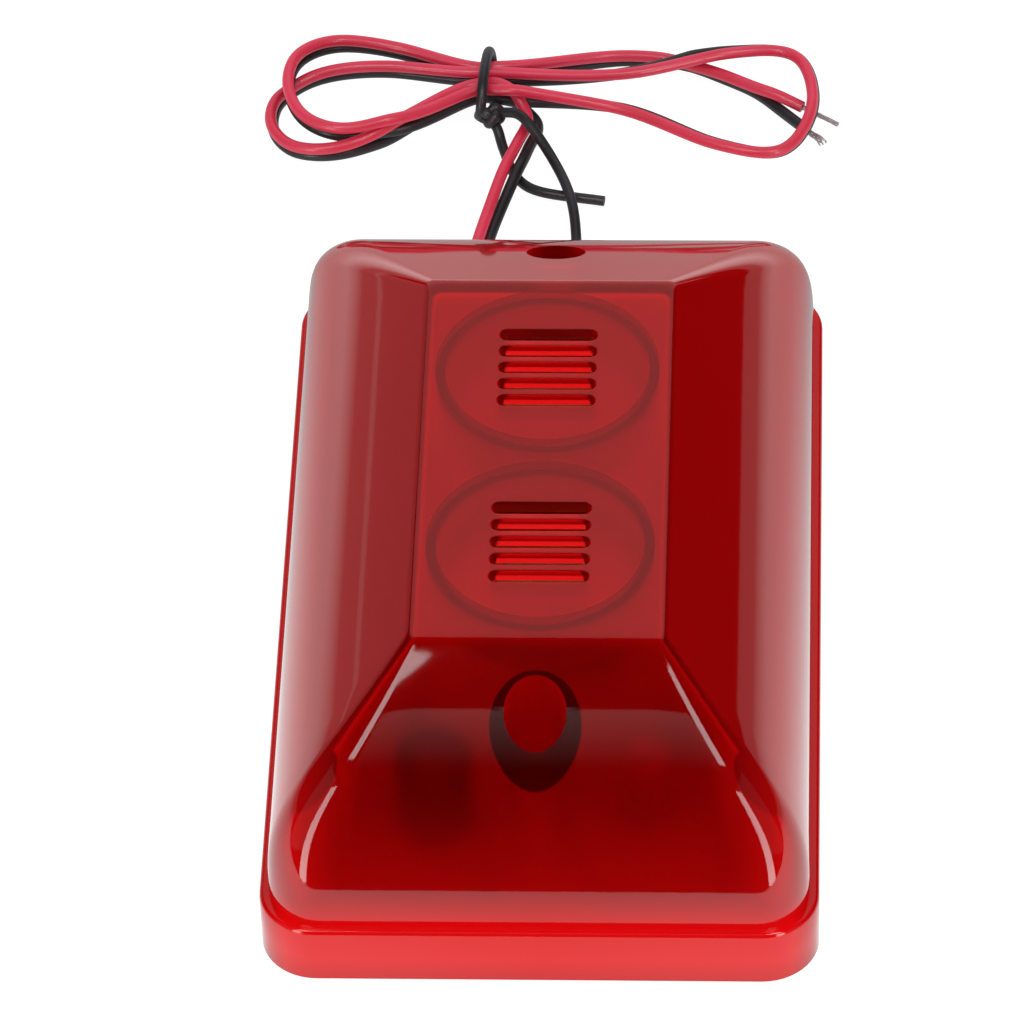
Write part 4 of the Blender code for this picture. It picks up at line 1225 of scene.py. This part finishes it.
def add_camera():
    back = Vector((sin(CAMERA_YAW) * cos(CAMERA_ELEVATION),
                   -cos(CAMERA_YAW) * cos(CAMERA_ELEVATION), sin(CAMERA_ELEVATION)))
    right = Vector((cos(CAMERA_YAW), sin(CAMERA_YAW), 0.0))
    up = back.cross(right)
    across = right * cos(CAMERA_ROLL) - up * sin(CAMERA_ROLL)
    upright = right * sin(CAMERA_ROLL) + up * cos(CAMERA_ROLL)
    axis_z = (back + across * tan(CAMERA_PAN) - upright * tan(CAMERA_TILT)).normalized()
    axis_x = (across - axis_z * across.dot(axis_z)).normalized()
    axis_y = axis_z.cross(axis_x)
    lens = bpy.data.cameras.new("camera")
    lens.lens = CAMERA_LENS
    lens.sensor_width = 36.0
    lens.clip_start = 0.05
    lens.clip_end = 20.0
    camera = bpy.data.objects.new("camera", lens)
    rotation = Matrix((axis_x, axis_y, axis_z)).transposed().to_4x4()
    camera.matrix_world = Matrix.Translation(CAMERA_TARGET + back * CAMERA_DISTANCE) @ rotation
    bpy.context.collection.objects.link(camera)
    bpy.context.scene.camera = camera


def panel(name, azimuth, elevation, width, height, radiance, mirrored, distance=1.5):
    """A rectangular soft light that faces the object; width and height are angles seen from it.
    It is either only mirrored in the surfaces or only lights them."""
    light = bpy.data.lights.new(name, "AREA")
    light.shape = "RECTANGLE"
    light.size = 2 * distance * tan(radians(width / 2))
    light.size_y = 2 * distance * tan(radians(height / 2))
    light.energy = radiance * pi * light.size * light.size_y
    obj = bpy.data.objects.new(name, light)
    toward = direction(azimuth, elevation)
    obj.location = toward * distance
    obj.rotation_mode = "QUATERNION"
    obj.rotation_quaternion = toward.to_track_quat("Z", "Y")
    obj.visible_camera = False
    obj.visible_glossy = mirrored
    obj.visible_diffuse = not mirrored
    obj.visible_transmission = not mirrored
    bpy.context.collection.objects.link(obj)
    return obj


def fading_panel(name, azimuth, low, high, width, radiance, distance=1.5):
    """A glowing sheet in front of the object, bright at its upper edge and fading out downwards."""
    look, tree = new_look(name)
    height = coordinate(tree, add_node(tree, "TexCoord").outputs["UV"], "Y")
    level = spread(tree, maths(tree, "POWER", height, 1.6), 0.0, radiance)
    close_with(tree, made(tree, "Emission", {"Strength": level}))
    bm = bmesh.new()
    corners = [bm.verts.new(direction(azimuth + side * width / 2, e) * distance)
               for side, e in ((-1, low), (1, low), (1, high), (-1, high))]
    face = bm.faces.new(corners)
    layer = bm.loops.layers.uv.new("UVMap")
    for loop, uv in zip(face.loops, ((0, 0), (1, 0), (1, 1), (0, 1))):
        loop[layer].uv = uv
    sheet = to_object(name, bm, look, solid=False)
    sheet.visible_camera = False
    sheet.visible_diffuse = False
    sheet.visible_shadow = False
    sheet.visible_transmission = False


def add_lights():
    for side in (-1, 1):
        panel(f"strip_low_{side}", side * 33, -4, 14, 72, 5.5, True)
        panel(f"strip_high_{side}", side * 33, 60, 14, 25, 5.5, True)
        panel(f"corner_wall_{side}", side * 58, 8, 34, 60, 0.12 if side > 0 else 0.2, True)
    panel("backdrop", 180, 36, 50, 66, 0.5, True)
    panel("left_wall", -135, 16, 34, 34, 0.25, True)
    panel("fill_top", 180, 70, 60, 60, 0.5, False)
    fading_panel("front_band", 3, 37, 61.5, 30, 0.6)


def add_world():
    """Even light from all around, white for the camera. It isn't mirrored: only the floor and
    panels are."""
    world = bpy.data.worlds.new("studio")
    bpy.context.scene.world = world
    world.use_nodes = True
    tree = world.node_tree
    tree.nodes.clear()
    ray = add_node(tree, "LightPath").outputs["Is Camera Ray"]
    felt, seen = [made(tree, "Background", {"Color": grey(1), "Strength": strength})
                  for strength in (0.8, 1.0)]
    out = add_node(tree, "OutputWorld")
    tree.links.new(mixed(tree, ray, felt, seen), out.inputs["Surface"])
    world.cycles_visibility.glossy = False


def floor_look():
    """A pale glow that ends a little in front of the object for every ray but the camera's, fades
    out to the sides in reflections, and can't be seen from below."""
    look, tree = new_look("floor")
    geometry = add_node(tree, "NewGeometry")
    rays = add_node(tree, "LightPath")
    clear = made(tree, "BsdfTransparent")
    position = geometry.outputs["Position"]
    in_front = maths(tree, "LESS_THAN", coordinate(tree, position, "Y"), FLOOR_EDGE)
    # Painted shade: in reflections the glow is dimmer round a spot behind the object.
    behind = distance_to(tree, position, (0.0, 2 * HALF_LENGTH, 0.0))
    level = spread(tree, behind, 0.4, 0.95, HALF_LENGTH, 2.5 * HALF_LENGTH)
    aside = maths(tree, "ABSOLUTE", coordinate(tree, position, "X"))
    fade = add_node(tree, "ValToRGB", {"Fac": spread(tree, aside, 0.0, 1.0, 0.0, FLOOR_FADE)})
    for share, shade in FLOOR_SHADES[1:-1]:
        fade.color_ramp.elements.new(share).color = grey(shade)
    fade.color_ramp.elements[0].color = grey(FLOOR_SHADES[0][1])
    fade.color_ramp.elements[-1].color = grey(FLOOR_SHADES[-1][1])
    level = maths(tree, "MULTIPLY", maths(tree, "MULTIPLY", level, 2.0), fade.outputs["Color"])

    def glowing(strength, shade):
        lit = made(tree, "BsdfDiffuse", {"Color": grey(shade)})
        glow = made(tree, "Emission", {"Strength": strength})
        return made(tree, "AddShader", {0: lit, 1: glow})

    mirrored = made(tree, "Emission", {"Strength": level})
    lighting = mixed(tree, rays.outputs["Is Glossy Ray"], glowing(0.7, 0.45), mirrored)
    others = mixed(tree, in_front, lighting, clear)
    above = mixed(tree, rays.outputs["Is Camera Ray"], others, glowing(0.94, 0.25))
    close_with(tree, mixed(tree, geometry.outputs["Backfacing"], above, clear))
    return look


def add_floor():
    bm = bmesh.new()
    bmesh.ops.create_grid(bm, x_segments=1, y_segments=1, size=3.0)
    floor = to_object("floor", bm, floor_look(), solid=False)
    floor.location.z = cad_low.z - 0.1 * MM


# ---------------------------------------------------------------- build

def inside_looks():
    """Materials of everything but the cover: dark and light colour, roughness, grain, depth, metallic
    and coat of each."""
    table = {
        "board": ((0.42, 0.31, 0.15), (0.5, 0.38, 0.2), 0.4, 900, 0.01),
        "red_solid": ((0.8, 0.02, 0.025), (0.88, 0.03, 0.035), 0.3, 500, 0.01),
        "black_resin": ((0.012, 0.012, 0.013), (0.03, 0.03, 0.032), 0.5, 1500, 0.01),
        "can_sleeve": ((0.42, 0.43, 0.46), (0.52, 0.53, 0.56), 0.3, 700, 0.005),
        "ferrite": ((0.05, 0.05, 0.055), (0.09, 0.09, 0.095), 0.7, 1500, 0.02),
        "copper": ((0.65, 0.26, 0.1), (0.8, 0.36, 0.16), 0.3, 1500, 0.02, 1.0),
        "disc_brass": ((0.46, 0.31, 0.11), (0.54, 0.39, 0.16), 0.32, 700, 0.005, 1.0),
        "ceramic": ((0.66, 0.64, 0.58), (0.78, 0.76, 0.7), 0.4, 900, 0.005),
        "glue": ((0.72, 0.7, 0.62), (0.82, 0.8, 0.74), 0.35, 400, 0.05),
        "lamp": ((0.42, 0.01, 0.012), (0.5, 0.015, 0.018), 0.12, 200, 0.005, 0.0, 1.0),
        "zinc": ((0.6, 0.6, 0.62), (0.75, 0.75, 0.76), 0.3, 1200, 0.005, 1.0),
        "red_pvc": ((0.72, 0.018, 0.06), (0.8, 0.03, 0.09), 0.38, 600, 0.01, 0.0, 0.3),
        "black_pvc": ((0.014, 0.015, 0.018), (0.03, 0.032, 0.038), 0.42, 600, 0.01, 0.0, 0.2),
        "tinned": ((0.6, 0.6, 0.61), (0.75, 0.75, 0.75), 0.3, 2500, 0.03, 0.7),
    }
    looks = {name: moulded(name, *values) for name, values in table.items()}
    brown, dark, orange, gold = (0.12, 0.035, 0.015), (0.01,) * 3, (0.7, 0.18, 0.02), (0.5, 0.33, 0.08)
    coded = ((0.2, 0.27, brown), (0.34, 0.41, dark), (0.48, 0.55, orange), (0.72, 0.79, gold))
    looks["resistor_paint"] = banded("resistor_paint", "resistor_1", (0.6, 0.44, 0.25), coded, 0.35)
    looks["diode_resin"] = banded("diode_resin", "diode", (0.015, 0.015, 0.016),
                                  ((0.68, 0.82, (0.6, 0.6, 0.6)),), 0.4)
    return looks


def build():
    looks = inside_looks()
    siren_cover(translucent_red("cover_plastic"))
    back_plate(looks["red_solid"])
    board(looks["board"])
    fine_screws(looks["zinc"])
    fine_sounders(looks)
    piezo_leads(looks)
    coil(looks)
    lamps(looks["lamp"])
    capacitor(looks)
    chip(looks)
    transistors(looks["black_resin"])
    lying_parts(looks)
    legs_and_solder(looks["tinned"])
    cable(looks)
    add_floor()
    add_world()
    add_lights()
    add_camera()
    scene = bpy.context.scene
    scene.view_settings.view_transform = "Standard"
    scene.cycles.max_bounces = 16
    scene.cycles.transmission_bounces = 12
    scene.cycles.transparent_max_bounces = 16
    scene.cycles.use_denoising = True


build()
